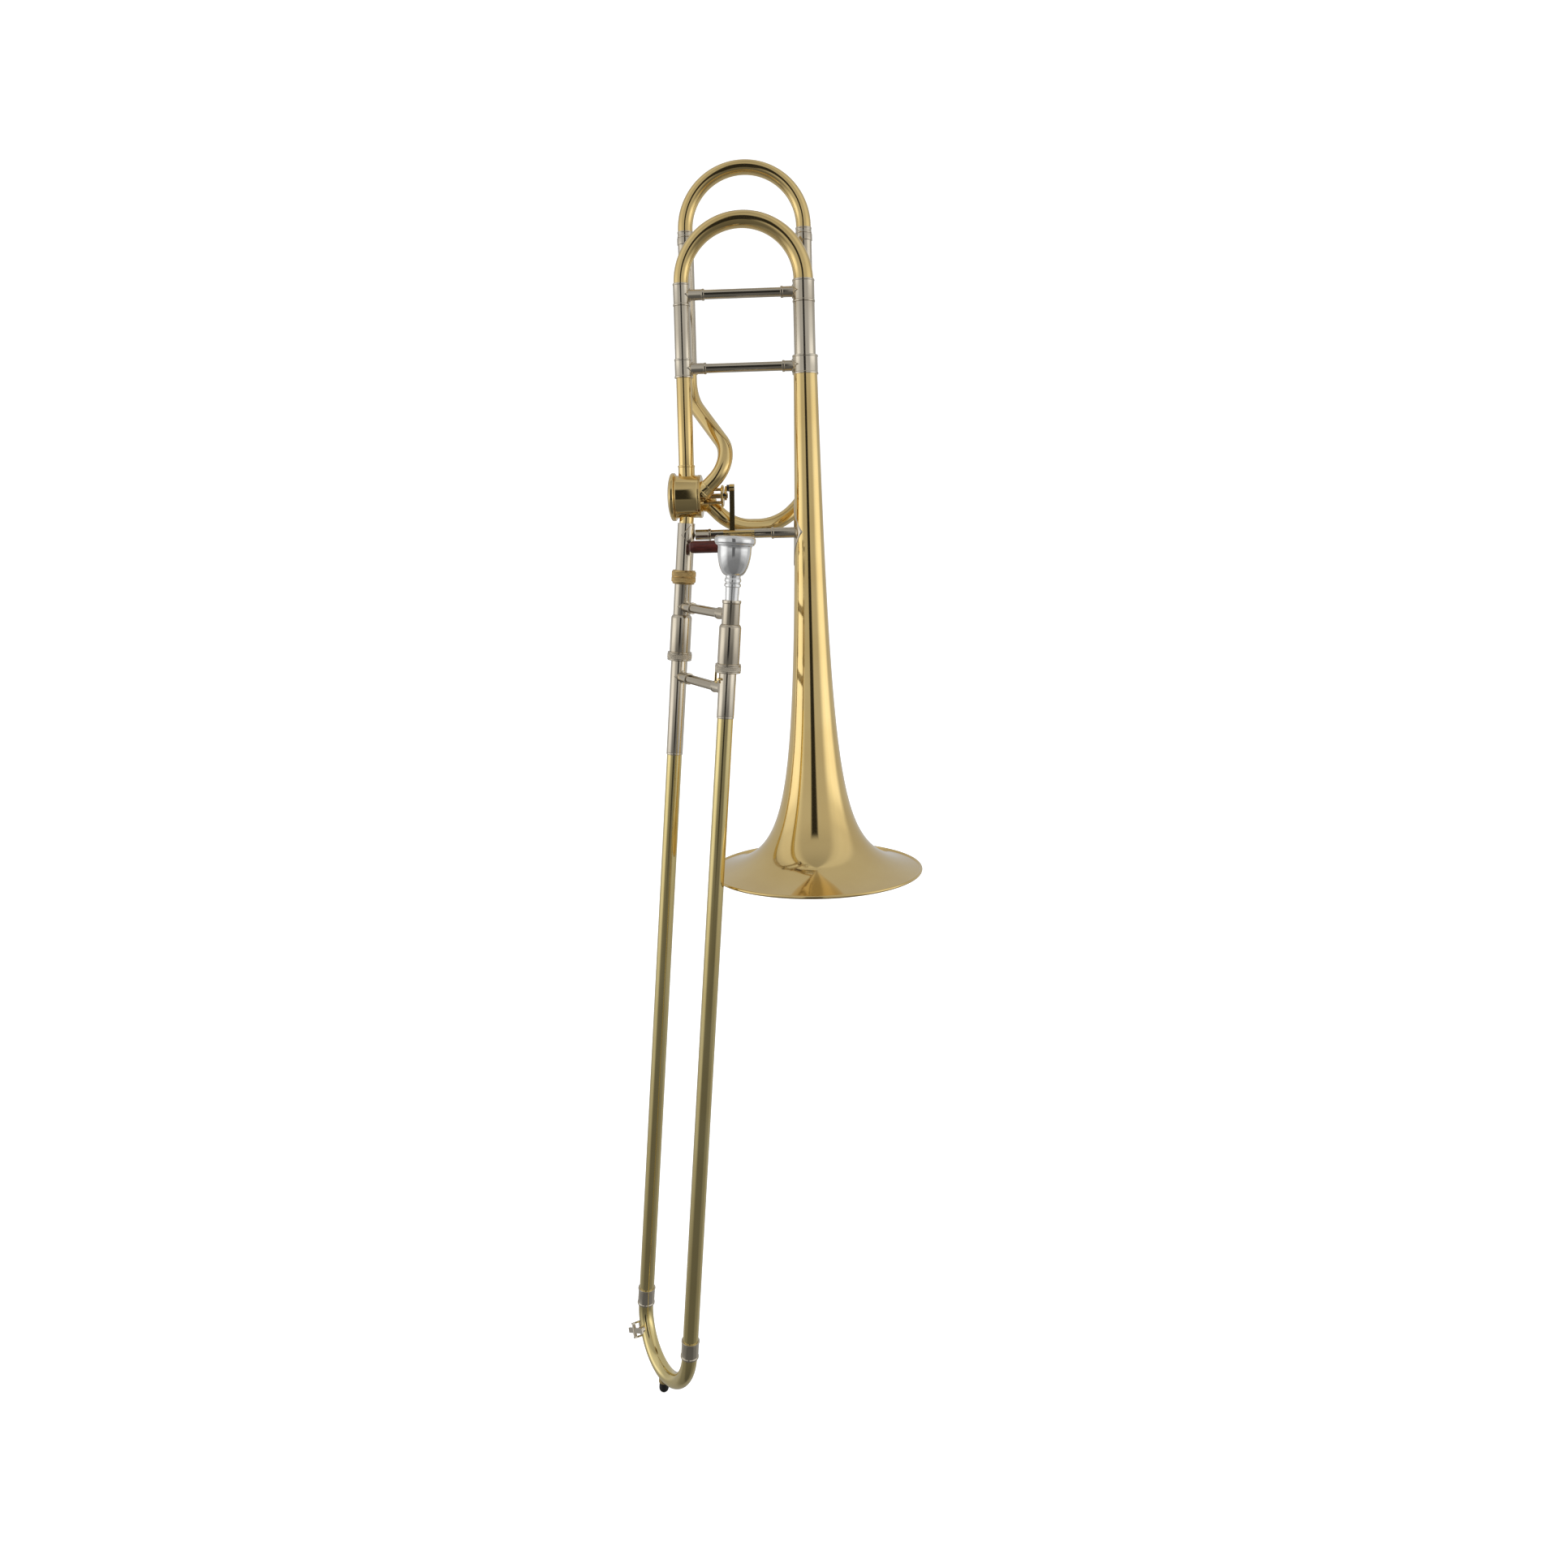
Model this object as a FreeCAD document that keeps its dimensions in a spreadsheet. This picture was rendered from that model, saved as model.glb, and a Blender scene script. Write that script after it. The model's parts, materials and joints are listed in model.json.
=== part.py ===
import math
import os

import FreeCAD
import Part
import Sketcher

from FreeCAD import Matrix, Placement, Rotation, Vector

# Tenor trombone with a thumb valve, hung upright with its hand slide closed.
# Millimetres. +Z is up, +X runs from the neck to the bell, +Y runs to the valve loop behind.
# The origin is where the axis of the bell section's neck meets the axis of the hand slide's receiver.

DIMENSIONS = [
    # alias, value, what it is
    ("bell_spacing", 121.9, "neck axis to bell axis"),
    ("bell_diameter", 216.0, "across the rolled rim"),
    ("bell_rim_level", 375.2, "depth of the rim below the origin"),
    ("bell_wall", 0.9, "sheet of the flare"),
    ("flare_reach", 12.0, "length added to the distance from the rim in the flare's power law"),
    ("flare_power", 0.58, "power of the flare's law"),
    ("rim_wire", 5.0, "rolled bead at the bell's rim"),
    ("tube_wall", 0.5, "wall of the drawn tubes"),
    ("slide_fit", 0.05, "radial clearance of every sliding or turning fit"),
    ("piece_gap", 0.4, "gap left between pieces that part from each other"),
    ("neck_outer", 15.4, "neck tube"),
    ("rotor_level", 6.4, "valve axis above the origin"),
    ("casing_outer", 43.4, "valve casing"),
    ("casing_wall", 3.2, "wall of the casing"),
    ("casing_left", 11.3, "neck axis to the casing's open end"),
    ("casing_right", 13.4, "neck axis to the casing's closed end"),
    ("cap_outer", 48.4, "valve cap"),
    ("cap_height", 6.6, "valve cap"),
    ("back_plate", 1.6, "plate that closes the casing"),
    ("port_offset", 11.0, "valve axis to each loop port"),
    ("spindle_outer", 5.0, "rotor's spindle"),
    ("stop_plate_outer", 22.0, "round plate that carries the stops"),
    ("stop_plate_place", 34.6, "neck axis to the stop plate"),
    ("stop_plate_thick", 2.4, "stop plate"),
    ("neck_ring_low", 29.6, "ring between the casing and the neck"),
    ("neck_ring_high", 37.7, "top of that ring"),
    ("ring_wall", 0.6, "wall of a ferrule over its tube"),
    ("joint_level_low", 124.4, "foot of the lower ferrules"),
    ("joint_level_high", 143.2, "head of the lower ferrules"),
    ("bow_level_low", 195.2, "foot of the tuning bow's ferrules when it is pushed home"),
    ("bow_level_high", 217.3, "head of those ferrules, and the bow's centre"),
    ("neck_leg_outer", 15.2, "tuning slide's leg on the neck side"),
    ("bell_leg_outer", 20.4, "tuning slide's leg on the bell side"),
    ("leg_wall", 0.45, "wall of a tuning leg"),
    ("leg_reach", 54.0, "length of leg inside its outer tube"),
    ("brace_outer", 9.4, "rod of a brace"),
    ("socket_outer", 10.8, "socket of a brace"),
    ("socket_reach", 23.0, "length of a socket"),
    ("flange_half", 7.0, "half height of a ferrule's diamond flange"),
    ("receiver_flange_half", 11.0, "half height of the receiver's diamond flange"),
    ("bell_flange_half", 34.0, "half height of the long diamond flange on the bell"),
    ("flange_wall", 0.8, "sheet of a flange"),
    ("upper_brace_level", 206.0, "brace across the tuning bow's ferrules"),
    ("middle_brace_level", 133.5, "brace across the lower ferrules"),
    ("lower_brace_level", 32.0, "depth of the brace from the receiver to the bell"),
    ("loop_offset", 46.8, "valve loop behind the bell section"),
    ("loop_outer", 15.3, "tube of the valve loop"),
    ("loop_level_low", 134.7, "foot of the loop's outer tubes"),
    ("loop_level_high", 273.4, "head of the loop's outer tubes"),
    ("loop_centre", 282.0, "centre of the loop's bow"),
    ("loop_leg_reach", 118.0, "length of leg inside the loop's outer tubes"),
    ("upper_reach", 51.0, "valve to the corner of the loop's upper tube"),
    ("upper_drop", 24.7, "loop's outer tube down to that tube's second corner"),
    ("lower_turn", 55.0, "radius of the loop's lower turn"),
    ("stay_outer", 6.0, "stay from a ferrule back to the loop"),
    ("slide_lean_side", 0.0853, "sideways lean of the hand slide, as a slope"),
    ("slide_lean_back", 0.0201, "backward lean of the hand slide, as a slope"),
    ("slide_turn", 53.7, "angle from the bell's plane round to the slide's plane, degrees"),
    ("slide_spacing", 97.0, "between the hand slide's two tubes"),
    ("receiver_top", 20.1, "origin to the receiver's head, along the slide"),
    ("receiver_foot", 66.9, "origin to the plain end of the receiver"),
    ("receiver_outer", 17.6, "receiver"),
    ("thread_outer", 19.4, "receiver's threaded end"),
    ("thread_length", 8.6, "receiver's threaded end"),
    ("nut_outer", 24.8, "knurled nut"),
    ("nut_foot", 81.7, "origin to the nut's foot"),
    ("tenon_outer", 15.0, "hand slide's tenon inside the receiver"),
    ("grip_outer", 17.6, "tube between the nut and the slide's barrel"),
    ("barrel_top", 113.0, "origin to the barrels' head"),
    ("barrel_foot", 150.8, "origin to the barrels' plain end"),
    ("barrel_outer", 21.2, "barrel that takes the outer slide"),
    ("barrel_bore", 17.6, "inside of the barrel"),
    ("barrel_nose", 8.0, "length of the barrel's nose"),
    ("nose_outer", 19.6, "barrel's nose, inside the end ring"),
    ("end_ring_outer", 25.2, "knurled ring at the barrel's end"),
    ("end_ring_height", 8.7, "knurled ring at the barrel's end"),
    ("inner_tube_outer", 14.4, "inner slide tube"),
    ("inner_tube_bore", 13.9, "bore of the hand slide"),
    ("stocking_outer", 14.7, "raised running end of an inner tube"),
    ("stocking_length", 130.0, "length of that raised end"),
    ("outer_tube_wall", 0.35, "wall of an outer slide tube"),
    ("inner_brace_level", 104.5, "origin to the inner slide's brace"),
    ("outer_brace_level", 175.8, "origin to the outer slide's brace"),
    ("sleeve_wall", 0.6, "sleeve over the head of an outer tube"),
    ("sleeve_long", 97.0, "sleeve on the receiver's side, below the end ring"),
    ("sleeve_short", 43.5, "sleeve on the mouthpiece side, below the end ring"),
    ("crook_joint_top", 838.6, "origin to the head of the crook's ferrules"),
    ("crook_joint_foot", 856.2, "origin to their foot, and the crook's centre"),
    ("slide_travel", 600.0, "hand slide"),
    ("mouth_receiver_top", 90.2, "origin to the mouthpiece socket's mouth"),
    ("mouth_receiver_outer", 17.2, "mouthpiece socket"),
    ("mouth_length", 82.0, "mouthpiece"),
    ("mouth_rim_outer", 39.4, "mouthpiece rim"),
    ("cup_outer", 32.4, "mouthpiece bowl"),
    ("cup_bore", 25.6, "inside of the mouthpiece rim"),
    ("throat_bore", 7.0, "mouthpiece throat"),
    ("shank_outer", 12.7, "mouthpiece shank where it leaves its socket"),
    ("shank_tip", 11.6, "mouthpiece shank at its tip"),
    ("shank_reach", 21.0, "shank inside its socket"),
    ("hinge_rod", 3.0, "thumb lever's hinge rod"),
    ("hinge_tube", 6.6, "thumb lever's hinge tube"),
    ("hinge_left", 36.6, "neck axis to the hinge's first post"),
    ("hinge_right", 65.4, "neck axis to the hinge's second post"),
    ("hinge_post", 2.2, "thickness of a hinge post"),
    ("lever_turn", 20.0, "thumb lever's swing, degrees"),
    ("lever_wide", 5.0, "lever bar"),
    ("lever_thick", 2.6, "lever bar"),
    ("link_radius", 11.0, "stop arm's pin circle"),
    ("link_thick", 2.2, "link rod"),
    ("touch_outer", 12.4, "thumb bar"),
    ("touch_left", 3.0, "neck axis to the thumb bar's free end"),
    ("touch_right", 52.0, "neck axis to the thumb bar's other end"),
    ("touch_front", 20.0, "thumb bar in front of the neck"),
    ("touch_level", 44.5, "thumb bar below the origin"),
    ("bumper_outer", 10.0, "rubber tip under the crook"),
    ("bumper_length", 10.5, "rubber tip under the crook"),
    ("key_angle", 30.0, "water key's place round the crook, degrees"),
    ("key_length", 34.0, "water key lever"),
    ("stud_outer", 2.6, "slide lock's stud"),
    ("stud_level", 165.4, "origin to the slide lock's stud"),
]

document = FreeCAD.newDocument("trombone")
sheet = document.addObject("Spreadsheet::Sheet", "sizes")


class Size:
    """A length that keeps both its number and the sheet formula that gives it."""

    def __init__(self, text, value):
        self.text = text
        self.value = value

    def join(self, sign, other, value):
        return Size("(%s %s %s)" % (self.text, sign, as_size(other).text), value)

    def __add__(self, other):
        return self.join("+", other, self.value + as_size(other).value)

    def __sub__(self, other):
        return self.join("-", other, self.value - as_size(other).value)

    def __mul__(self, other):
        return self.join("*", other, self.value * as_size(other).value)

    def __truediv__(self, other):
        return self.join("/", other, self.value / as_size(other).value)

    def __rsub__(self, other):
        return as_size(other) - self

    def __radd__(self, other):
        return as_size(other) + self


def as_size(thing):
    """A plain number becomes a size that no cell drives."""
    return thing if isinstance(thing, Size) else Size("%.6g" % thing, float(thing))


class Sizes:
    """The named sizes, one attribute per cell."""


s = Sizes()
for row, (alias, number, meaning) in enumerate(DIMENSIONS, 1):
    sheet.set("A%d" % row, str(number))
    sheet.set("B%d" % row, meaning)
    sheet.setAlias("A%d" % row, alias)
document.recompute()
for alias, number, meaning in DIMENSIONS:
    setattr(s, alias, Size("sizes." + alias, float(sheet.get(alias))))

pieces = []


def keep(shape_object, label, place=None):
    """Register an object as a sub-part: its label names its file."""
    shape_object.Label = label
    if place is not None:
        shape_object.Placement = place.multiply(shape_object.Placement)
    pieces.append(shape_object)
    return shape_object


# ---------------------------------------------------------------- frames

SIDE = Vector(1, 0, 0)
BACK = Vector(0, 1, 0)
UP = Vector(0, 0, 1)


def at(x=0, y=0, z=0, turn=None):
    """A placement in the bell section: position in sizes or numbers, with an optional rotation."""
    base = Vector(as_size(x).value, as_size(y).value, as_size(z).value)
    return Placement(base, turn or Rotation())


ALONG_X = Rotation(BACK, 90)      # turns a piece's +Z axis to +X
ALONG_Y = Rotation(SIDE, -90)     # turns a piece's +Z axis to +Y


def slide_axes():
    """The hand slide's own frame: local Z runs up its tubes, local X from tube to tube."""
    down = Vector(-s.slide_lean_side.value, s.slide_lean_back.value, -1).normalize()
    turn = math.radians(s.slide_turn.value)
    across = Vector(math.cos(turn), -math.sin(turn), 0)
    across = (across - down * across.dot(down)).normalize()
    up = down * -1
    other = up.cross(across)
    return Placement(Matrix(across.x, other.x, up.x, 0,
                            across.y, other.y, up.y, 0,
                            across.z, other.z, up.z, 0,
                            0, 0, 0, 1))


SLIDE = slide_axes()


def on_slide(x=0, y=0, depth=0, turn=None):
    """A placement in the hand slide's frame, depth counted down its tubes from the origin."""
    return SLIDE.multiply(at(x, y, as_size(0) - depth, turn))


# ---------------------------------------------------------------- shape builders

def set_size(target, prop, amount):
    """Bind a property to the sheet, or set it when no cell drives it."""
    amount = as_size(amount)
    if "sizes." in amount.text:
        target.setExpression(prop, amount.text)
    else:
        setattr(target, prop, amount.value)


def rod(radius, length, place=None, name="rod"):
    """A cylinder that starts at its placement and runs along its own Z."""
    item = document.addObject("Part::Cylinder", name)
    set_size(item, "Radius", radius)
    set_size(item, "Height", length)
    if place is not None:
        item.Placement = place
    return item


def block(x, y, z, place=None, name="block"):
    """A box with one corner at its placement."""
    item = document.addObject("Part::Box", name)
    for prop, amount in (("Length", x), ("Width", y), ("Height", z)):
        set_size(item, prop, amount)
    if place is not None:
        item.Placement = place
    return item


def cut(base, *tools):
    """The base with every tool taken out of it."""
    for tool in tools:
        result = document.addObject("Part::Cut", "cut")
        result.Base = base
        result.Tool = tool
        base = result
    return base


def fuse(*shapes):
    """One solid from shapes that touch."""
    result = document.addObject("Part::MultiFuse", "joined")
    result.Shapes = list(shapes)
    result.Refine = True
    return result


def group(*shapes):
    """Several solids kept apart in one sub-part."""
    result = document.addObject("Part::Compound", "group")
    result.Links = list(shapes)
    return result


def pipe(outer, bore, length, place=None):
    """A straight tube along its own Z, given by its two diameters."""
    return cut(rod(outer / 2, length, place), rod(bore / 2, length, place))


def turned(label, outline, place=None, name="turned"):
    """A body of revolution: the outline is (radius, height) corners of a closed section."""
    body = document.addObject("PartDesign::Body", name)
    plane = [item for item in body.Origin.OriginFeatures if item.Role == "XZ_Plane"][0]
    sketch = body.newObject("Sketcher::SketchObject", "section")
    sketch.AttachmentSupport = [(plane, "")]
    sketch.MapMode = "FlatFace"
    corners = [(as_size(r), as_size(h)) for r, h in outline]
    count = len(corners)
    for i in range(count):
        (r0, h0), (r1, h1) = corners[i], corners[(i + 1) % count]
        sketch.addGeometry(Part.LineSegment(Vector(r0.value, h0.value, 0), Vector(r1.value, h1.value, 0)))
    for i in range(count):
        sketch.addConstraint(Sketcher.Constraint("Coincident", i, 2, (i + 1) % count, 1))
    for i, (radius, height) in enumerate(corners):
        for kind, amount, zero_axis in (("DistanceX", radius, -2), ("DistanceY", height, -1)):
            if amount.value == 0:
                sketch.addConstraint(Sketcher.Constraint("PointOnObject", i, 1, zero_axis))
                continue
            index = sketch.addConstraint(Sketcher.Constraint(kind, -1, 1, i, 1, amount.value))
            if "sizes." in amount.text:
                sketch.setExpression("Constraints[%d]" % index, amount.text)
    turn = body.newObject("PartDesign::Revolution", "turn")
    turn.Profile = sketch
    turn.ReferenceAxis = (sketch, ["V_Axis"])
    turn.Angle = 360
    body.Tip = turn
    return keep(body, label, place) if label else place_of(body, place)


def place_of(item, place):
    """Give a helper object its placement."""
    if place is not None:
        item.Placement = place
    return item


def solid_feature(shape, name="solid"):
    """A document object that holds a shape worked out in code."""
    item = document.addObject("Part::Feature", name)
    item.Shape = shape
    return item


def circle_wire(centre, normal, radius):
    return Part.Wire(Part.makeCircle(radius, centre, normal))


def sweep(wire, start_radius, end_radius=None):
    """A solid carried along a smooth wire, with a round section that may change size."""
    first, last = wire.Edges[0], wire.Edges[-1]
    start = first.valueAt(first.FirstParameter)
    ahead = first.tangentAt(first.FirstParameter)
    sections = [circle_wire(start, ahead, start_radius)]
    if end_radius is not None and abs(end_radius - start_radius) > 1e-6:
        finish = last.valueAt(last.LastParameter)
        sections.append(circle_wire(finish, last.tangentAt(last.LastParameter), end_radius))
    return wire.makePipeShell(sections, True, False)


def bow_wire(spacing, stub):
    """Stub up, half circle over, stub down, between two legs; the circle's centre level is z = 0."""
    half = spacing / 2
    left, right = Vector(0, 0, -stub), Vector(spacing, 0, -stub)
    start, end = Vector(0, 0, 0), Vector(spacing, 0, 0)
    crown = Vector(half, 0, half)
    return Part.Wire([Part.LineSegment(left, start).toShape(),
                      Part.Arc(start, crown, end).toShape(),
                      Part.LineSegment(end, right).toShape()])


def filled_bow(spacing, stub, radius_a, radius_b):
    """A solid bow: straight stubs, with any change of size spread over the half circle."""
    half_circle = Part.Wire(bow_wire(spacing, stub).Edges[1])
    stub_a = Part.makeCylinder(radius_a, stub, Vector(0, 0, -stub))
    stub_b = Part.makeCylinder(radius_b, stub, Vector(spacing, 0, -stub))
    return sweep(half_circle, radius_a, radius_b).fuse([stub_a, stub_b])


def hollow_bow(spacing, stub, outer_a, outer_b, wall):
    """A bent tube on a bow wire, from one outer diameter to the other."""
    skin = filled_bow(spacing, stub, outer_a / 2, outer_b / 2)
    return skin.cut(filled_bow(spacing, stub, outer_a / 2 - wall, outer_b / 2 - wall))


def rounded_route(points, share=0.45):
    """Straight runs joined by tangent arcs, each as large as its two runs allow."""
    edges = []
    here = points[0]
    for before, corner, after in zip(points, points[1:], points[2:]):
        back, ahead = before - corner, after - corner
        reach = share * min(back.Length, ahead.Length)
        arc_in = corner + back.normalize() * reach
        arc_out = corner + ahead.normalize() * reach
        half_turn = (math.pi - back.getAngle(ahead)) / 2
        radius = reach / math.tan(half_turn)
        bisector = (back + ahead).normalize()
        middle = corner + bisector * (radius / math.cos(half_turn) - radius)
        edges.append(Part.LineSegment(here, arc_in).toShape())
        edges.append(Part.Arc(arc_in, middle, arc_out).toShape())
        here = arc_out
    edges.append(Part.LineSegment(here, points[-1]).toShape())
    return Part.Wire(edges)


# ---------------------------------------------------------------- bell

def flare_radius(above):
    """Outer radius of the flare at a height above the rim: a power law of the distance."""
    reach = s.flare_reach.value
    at_rim = (s.bell_diameter.value - s.rim_wire.value) / 2
    return at_rim * (reach / (above + reach)) ** s.flare_power.value


def flare_curve(inset, low, high):
    """The flare's outline, moved in by the sheet's thickness where asked."""
    steps = 40
    points = []
    for i in range(steps + 1):
        above = low + (high - low) * (i / steps) ** 2.2
        points.append(Vector(flare_radius(above) - inset, 0, above))
    curve = Part.BSplineCurve()
    curve.interpolate(points)
    return curve.toShape(), points[0], points[-1]


def flare_solid(inset, low, high):
    """The flare filled to its axis, from one height above the rim to another."""
    curve, first, last = flare_curve(inset, low, high)
    closing = [Part.LineSegment(last, Vector(0, 0, last.z)).toShape(),
               Part.LineSegment(Vector(0, 0, last.z), Vector(0, 0, first.z)).toShape(),
               Part.LineSegment(Vector(0, 0, first.z), first).toShape()]
    face = Part.Face(Part.Wire([curve] + closing))
    return face.revolve(Vector(0, 0, 0), UP, 360)


bell_place = at(s.bell_spacing, 0, 0 - s.bell_rim_level)
bell_top = s.bell_rim_level + (s.joint_level_low + s.joint_level_high) / 2
bell_filled = flare_solid(0, 0, bell_top.value)
bell_shape = bell_filled.cut(flare_solid(s.bell_wall.value, 0, bell_top.value))
keep(solid_feature(bell_shape, "flare"), "bell", bell_place)

rim_bead = document.addObject("Part::Torus", "rim_wire")
set_size(rim_bead, "Radius1", (s.bell_diameter - s.rim_wire) / 2)
set_size(rim_bead, "Radius2", s.rim_wire / 2)
edge_groove = solid_feature(bell_filled.copy(), "rim_groove")
keep(cut(rim_bead, edge_groove), "bell_rim", bell_place)


# ---------------------------------------------------------------- ferrules and straight tubes

def stepped_ferrule(label, height, low_outer, high_outer, place):
    """A short sleeve, bored for one tube from below and another from above, with a bead at its foot."""
    outer = s.ring_wall * 2 + (high_outer if high_outer.value > low_outer.value else low_outer)
    half = height / 2
    bead = outer / 2 + 0.5
    outline = [(low_outer / 2, 0), (bead, 0), (bead, 1.6), (outer / 2, 2.0), (outer / 2, height),
               (high_outer / 2, height), (high_outer / 2, half), (low_outer / 2, half)]
    return turned(label, outline, place)


joint_height = s.joint_level_high - s.joint_level_low
neck_outer_tube = s.neck_leg_outer + s.slide_fit * 2 + s.tube_wall * 2
bell_outer_tube = s.bell_leg_outer + s.slide_fit * 2 + s.tube_wall * 2
joint_middle = (s.joint_level_low + s.joint_level_high) / 2
flare_at_ferrule = flare_radius(bell_top.value - joint_height.value / 2)
bell_ferrule_radius = max(bell_outer_tube.value / 2, flare_at_ferrule) + s.ring_wall.value
neck_ferrule_radius = max(neck_outer_tube.value, s.neck_outer.value) / 2 + s.ring_wall.value


def bell_ferrule():
    """The ferrule on the flare's thin end: its lower bore follows the flare."""
    height = joint_height.value
    body = Part.makeCylinder(bell_ferrule_radius, height)
    body = body.fuse(Part.makeCylinder(bell_ferrule_radius + 0.5, 1.8)).removeSplitter()
    shift = Vector(0, 0, -(s.bell_rim_level.value + s.joint_level_low.value))
    flare = flare_solid(0, bell_top.value - height, bell_top.value)
    flare.translate(shift)
    body = body.cut(flare)
    upper = Part.makeCylinder(bell_outer_tube.value / 2, height / 2, Vector(0, 0, height / 2))
    return body.cut(upper)


stepped_ferrule("neck_ferrule", joint_height, s.neck_outer, neck_outer_tube, at(0, 0, s.joint_level_low))
keep(solid_feature(bell_ferrule(), "ferrule"), "bell_ferrule", at(s.bell_spacing, 0, s.joint_level_low))

outer_reach = s.bow_level_low - s.piece_gap - joint_middle
keep(pipe(neck_outer_tube, s.neck_leg_outer + s.slide_fit * 2, outer_reach),
     "tuning_outer_tube_neck", at(0, 0, joint_middle))
keep(pipe(bell_outer_tube, s.bell_leg_outer + s.slide_fit * 2, outer_reach),
     "tuning_outer_tube_bell", at(s.bell_spacing, 0, joint_middle))

neck_bore = s.neck_outer - s.tube_wall * 2
keep(pipe(s.neck_outer, neck_bore, joint_middle - (s.neck_ring_low + s.neck_ring_high) / 2),
     "neck_pipe", at(0, 0, (s.neck_ring_low + s.neck_ring_high) / 2))

# ---------------------------------------------------------------- valve

casing_length = s.casing_left + s.casing_right
casing_bore = s.casing_outer - s.casing_wall * 2


def valve_at(x, turn=ALONG_X, y=0, z=0):
    """A placement on the valve's axis, x counted from the neck's axis."""
    return at(x, y, s.rotor_level + z, turn)


casing = cut(rod(s.casing_outer / 2, casing_length, valve_at(0 - s.casing_left), "casing"),
             rod(casing_bore / 2, casing_length, valve_at(0 - s.casing_left)),
             rod(neck_bore / 2, s.casing_outer * 1.2, at(0, 0, s.rotor_level - s.casing_outer * 0.6)))
keep(casing, "valve_casing")

cap_face = s.cap_height * 0.35
turned("valve_cap", [(0, 0), (s.cap_outer * 0.4, 0), (s.cap_outer / 2, cap_face),
                     (s.cap_outer / 2, s.cap_height), (0, s.cap_height)],
       valve_at(0 - s.casing_left - s.cap_height))

ring_outer = s.neck_outer + s.ring_wall * 2
ring_step = (s.neck_ring_low + s.neck_ring_high) / 2
upper_knuckle = cut(
    rod(ring_outer / 2, s.neck_ring_high - s.rotor_level, at(0, 0, s.rotor_level)),
    rod(neck_bore / 2, s.neck_ring_high - s.rotor_level, at(0, 0, s.rotor_level)),
    rod(s.neck_outer / 2, s.neck_ring_high - ring_step, at(0, 0, ring_step)),
    rod(s.casing_outer / 2, casing_length * 2, valve_at(0 - casing_length)))
keep(upper_knuckle, "neck_ring")

knuckle_outer = s.tenon_outer + s.slide_fit * 2 - 0.6
receiver_step = s.receiver_top + 7.0
lower_knuckle = cut(
    rod(knuckle_outer / 2, receiver_step, on_slide(0, 0, receiver_step)),
    rod(s.inner_tube_bore / 2, receiver_step, on_slide(0, 0, receiver_step)),
    rod(s.casing_outer / 2, casing_length * 2, valve_at(0 - casing_length)),
    block(60, 60, 60, at(-30, -30, s.rotor_level)))
keep(lower_knuckle, "receiver_knuckle")

LOOP_RISE = 45.0      # degrees: the loop's two tubes leave the valve this far up and down
plate_place = s.casing_right
loop_bore = s.loop_outer - s.tube_wall * 2
near_port = Vector(plate_place.value, -s.port_offset.value, s.rotor_level.value)
far_port = Vector(plate_place.value, s.port_offset.value, s.rotor_level.value)
rise = Vector(math.cos(math.radians(LOOP_RISE)), 0, math.sin(math.radians(LOOP_RISE)))
fall = Vector(rise.x, 0, -rise.z)


def loop_port(port, heading):
    """The hole one loop tube needs through the back plate."""
    return solid_feature(Part.makeCylinder(loop_bore.value / 2, 60, port - heading * 30, heading), "port")


POST_PLACES = (-6.5, 6.5)
spindle_hole = s.spindle_outer + s.slide_fit * 2
plate = cut(rod(s.casing_outer / 2, s.back_plate, valve_at(plate_place), "plate"),
            rod(spindle_hole / 2, s.back_plate, valve_at(plate_place)),
            loop_port(near_port, rise), loop_port(far_port, fall))
keep(plate, "valve_back_plate")

post_reach = s.stop_plate_place - plate_place - s.back_plate
posts = [rod(1.6, post_reach, valve_at(plate_place + s.back_plate, z=z)) for z in POST_PLACES]
stop_plate = cut(fuse(rod(s.stop_plate_outer / 2, s.stop_plate_thick, valve_at(s.stop_plate_place)), *posts),
                 rod(spindle_hole / 2, s.stop_plate_thick, valve_at(s.stop_plate_place)))
keep(stop_plate, "stop_plate")

rotor_outer = casing_bore - s.slide_fit * 2
rotor_left = s.casing_left - 0.6
rotor_length = s.casing_right + rotor_left - s.piece_gap
spindle_reach = s.stop_plate_place + s.stop_plate_thick + 4.0 - s.casing_right + s.piece_gap
rotor_body = fuse(rod(rotor_outer / 2, rotor_length, valve_at(0 - rotor_left), "rotor"),
                  rod(s.spindle_outer / 2, spindle_reach, valve_at(s.casing_right - s.piece_gap)))
side_passages = [rod(s.port_offset / 2 - 1.0, rotor_length * 0.6,
                     valve_at(s.casing_right - rotor_length * 0.6, y=side * (s.port_offset.value + 1.0)))
                 for side in (-1, 1)]
keep(cut(rotor_body, rod(neck_bore / 2, rotor_outer * 1.2, at(0, 0, s.rotor_level - rotor_outer * 0.6)),
         *side_passages), "valve_rotor")

# the arm points back and up at rest, and swings over to the front when the lever is pressed
arm_place = s.stop_plate_place + s.stop_plate_thick + 0.6
arm_thick = as_size(2.4)
ARM_REST = 45.0
arm_tip = Vector(0, s.link_radius.value * math.cos(math.radians(ARM_REST)),
                 s.rotor_level.value + s.link_radius.value * math.sin(math.radians(ARM_REST)))
arm_turn = Rotation(SIDE, ARM_REST)
arm_bar = block(arm_thick, s.link_radius, 5.0,
                valve_at(arm_place, arm_turn).multiply(at(0, 0, -2.5)), "arm")
stop_arm = cut(fuse(rod(4.6, arm_thick, valve_at(arm_place), "hub"), arm_bar,
                    rod(2.5, arm_thick, at(arm_place, arm_tip.y, arm_tip.z, ALONG_X))),
               rod(s.spindle_outer / 2, arm_thick, valve_at(arm_place)))
keep(stop_arm, "stop_arm")

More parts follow.
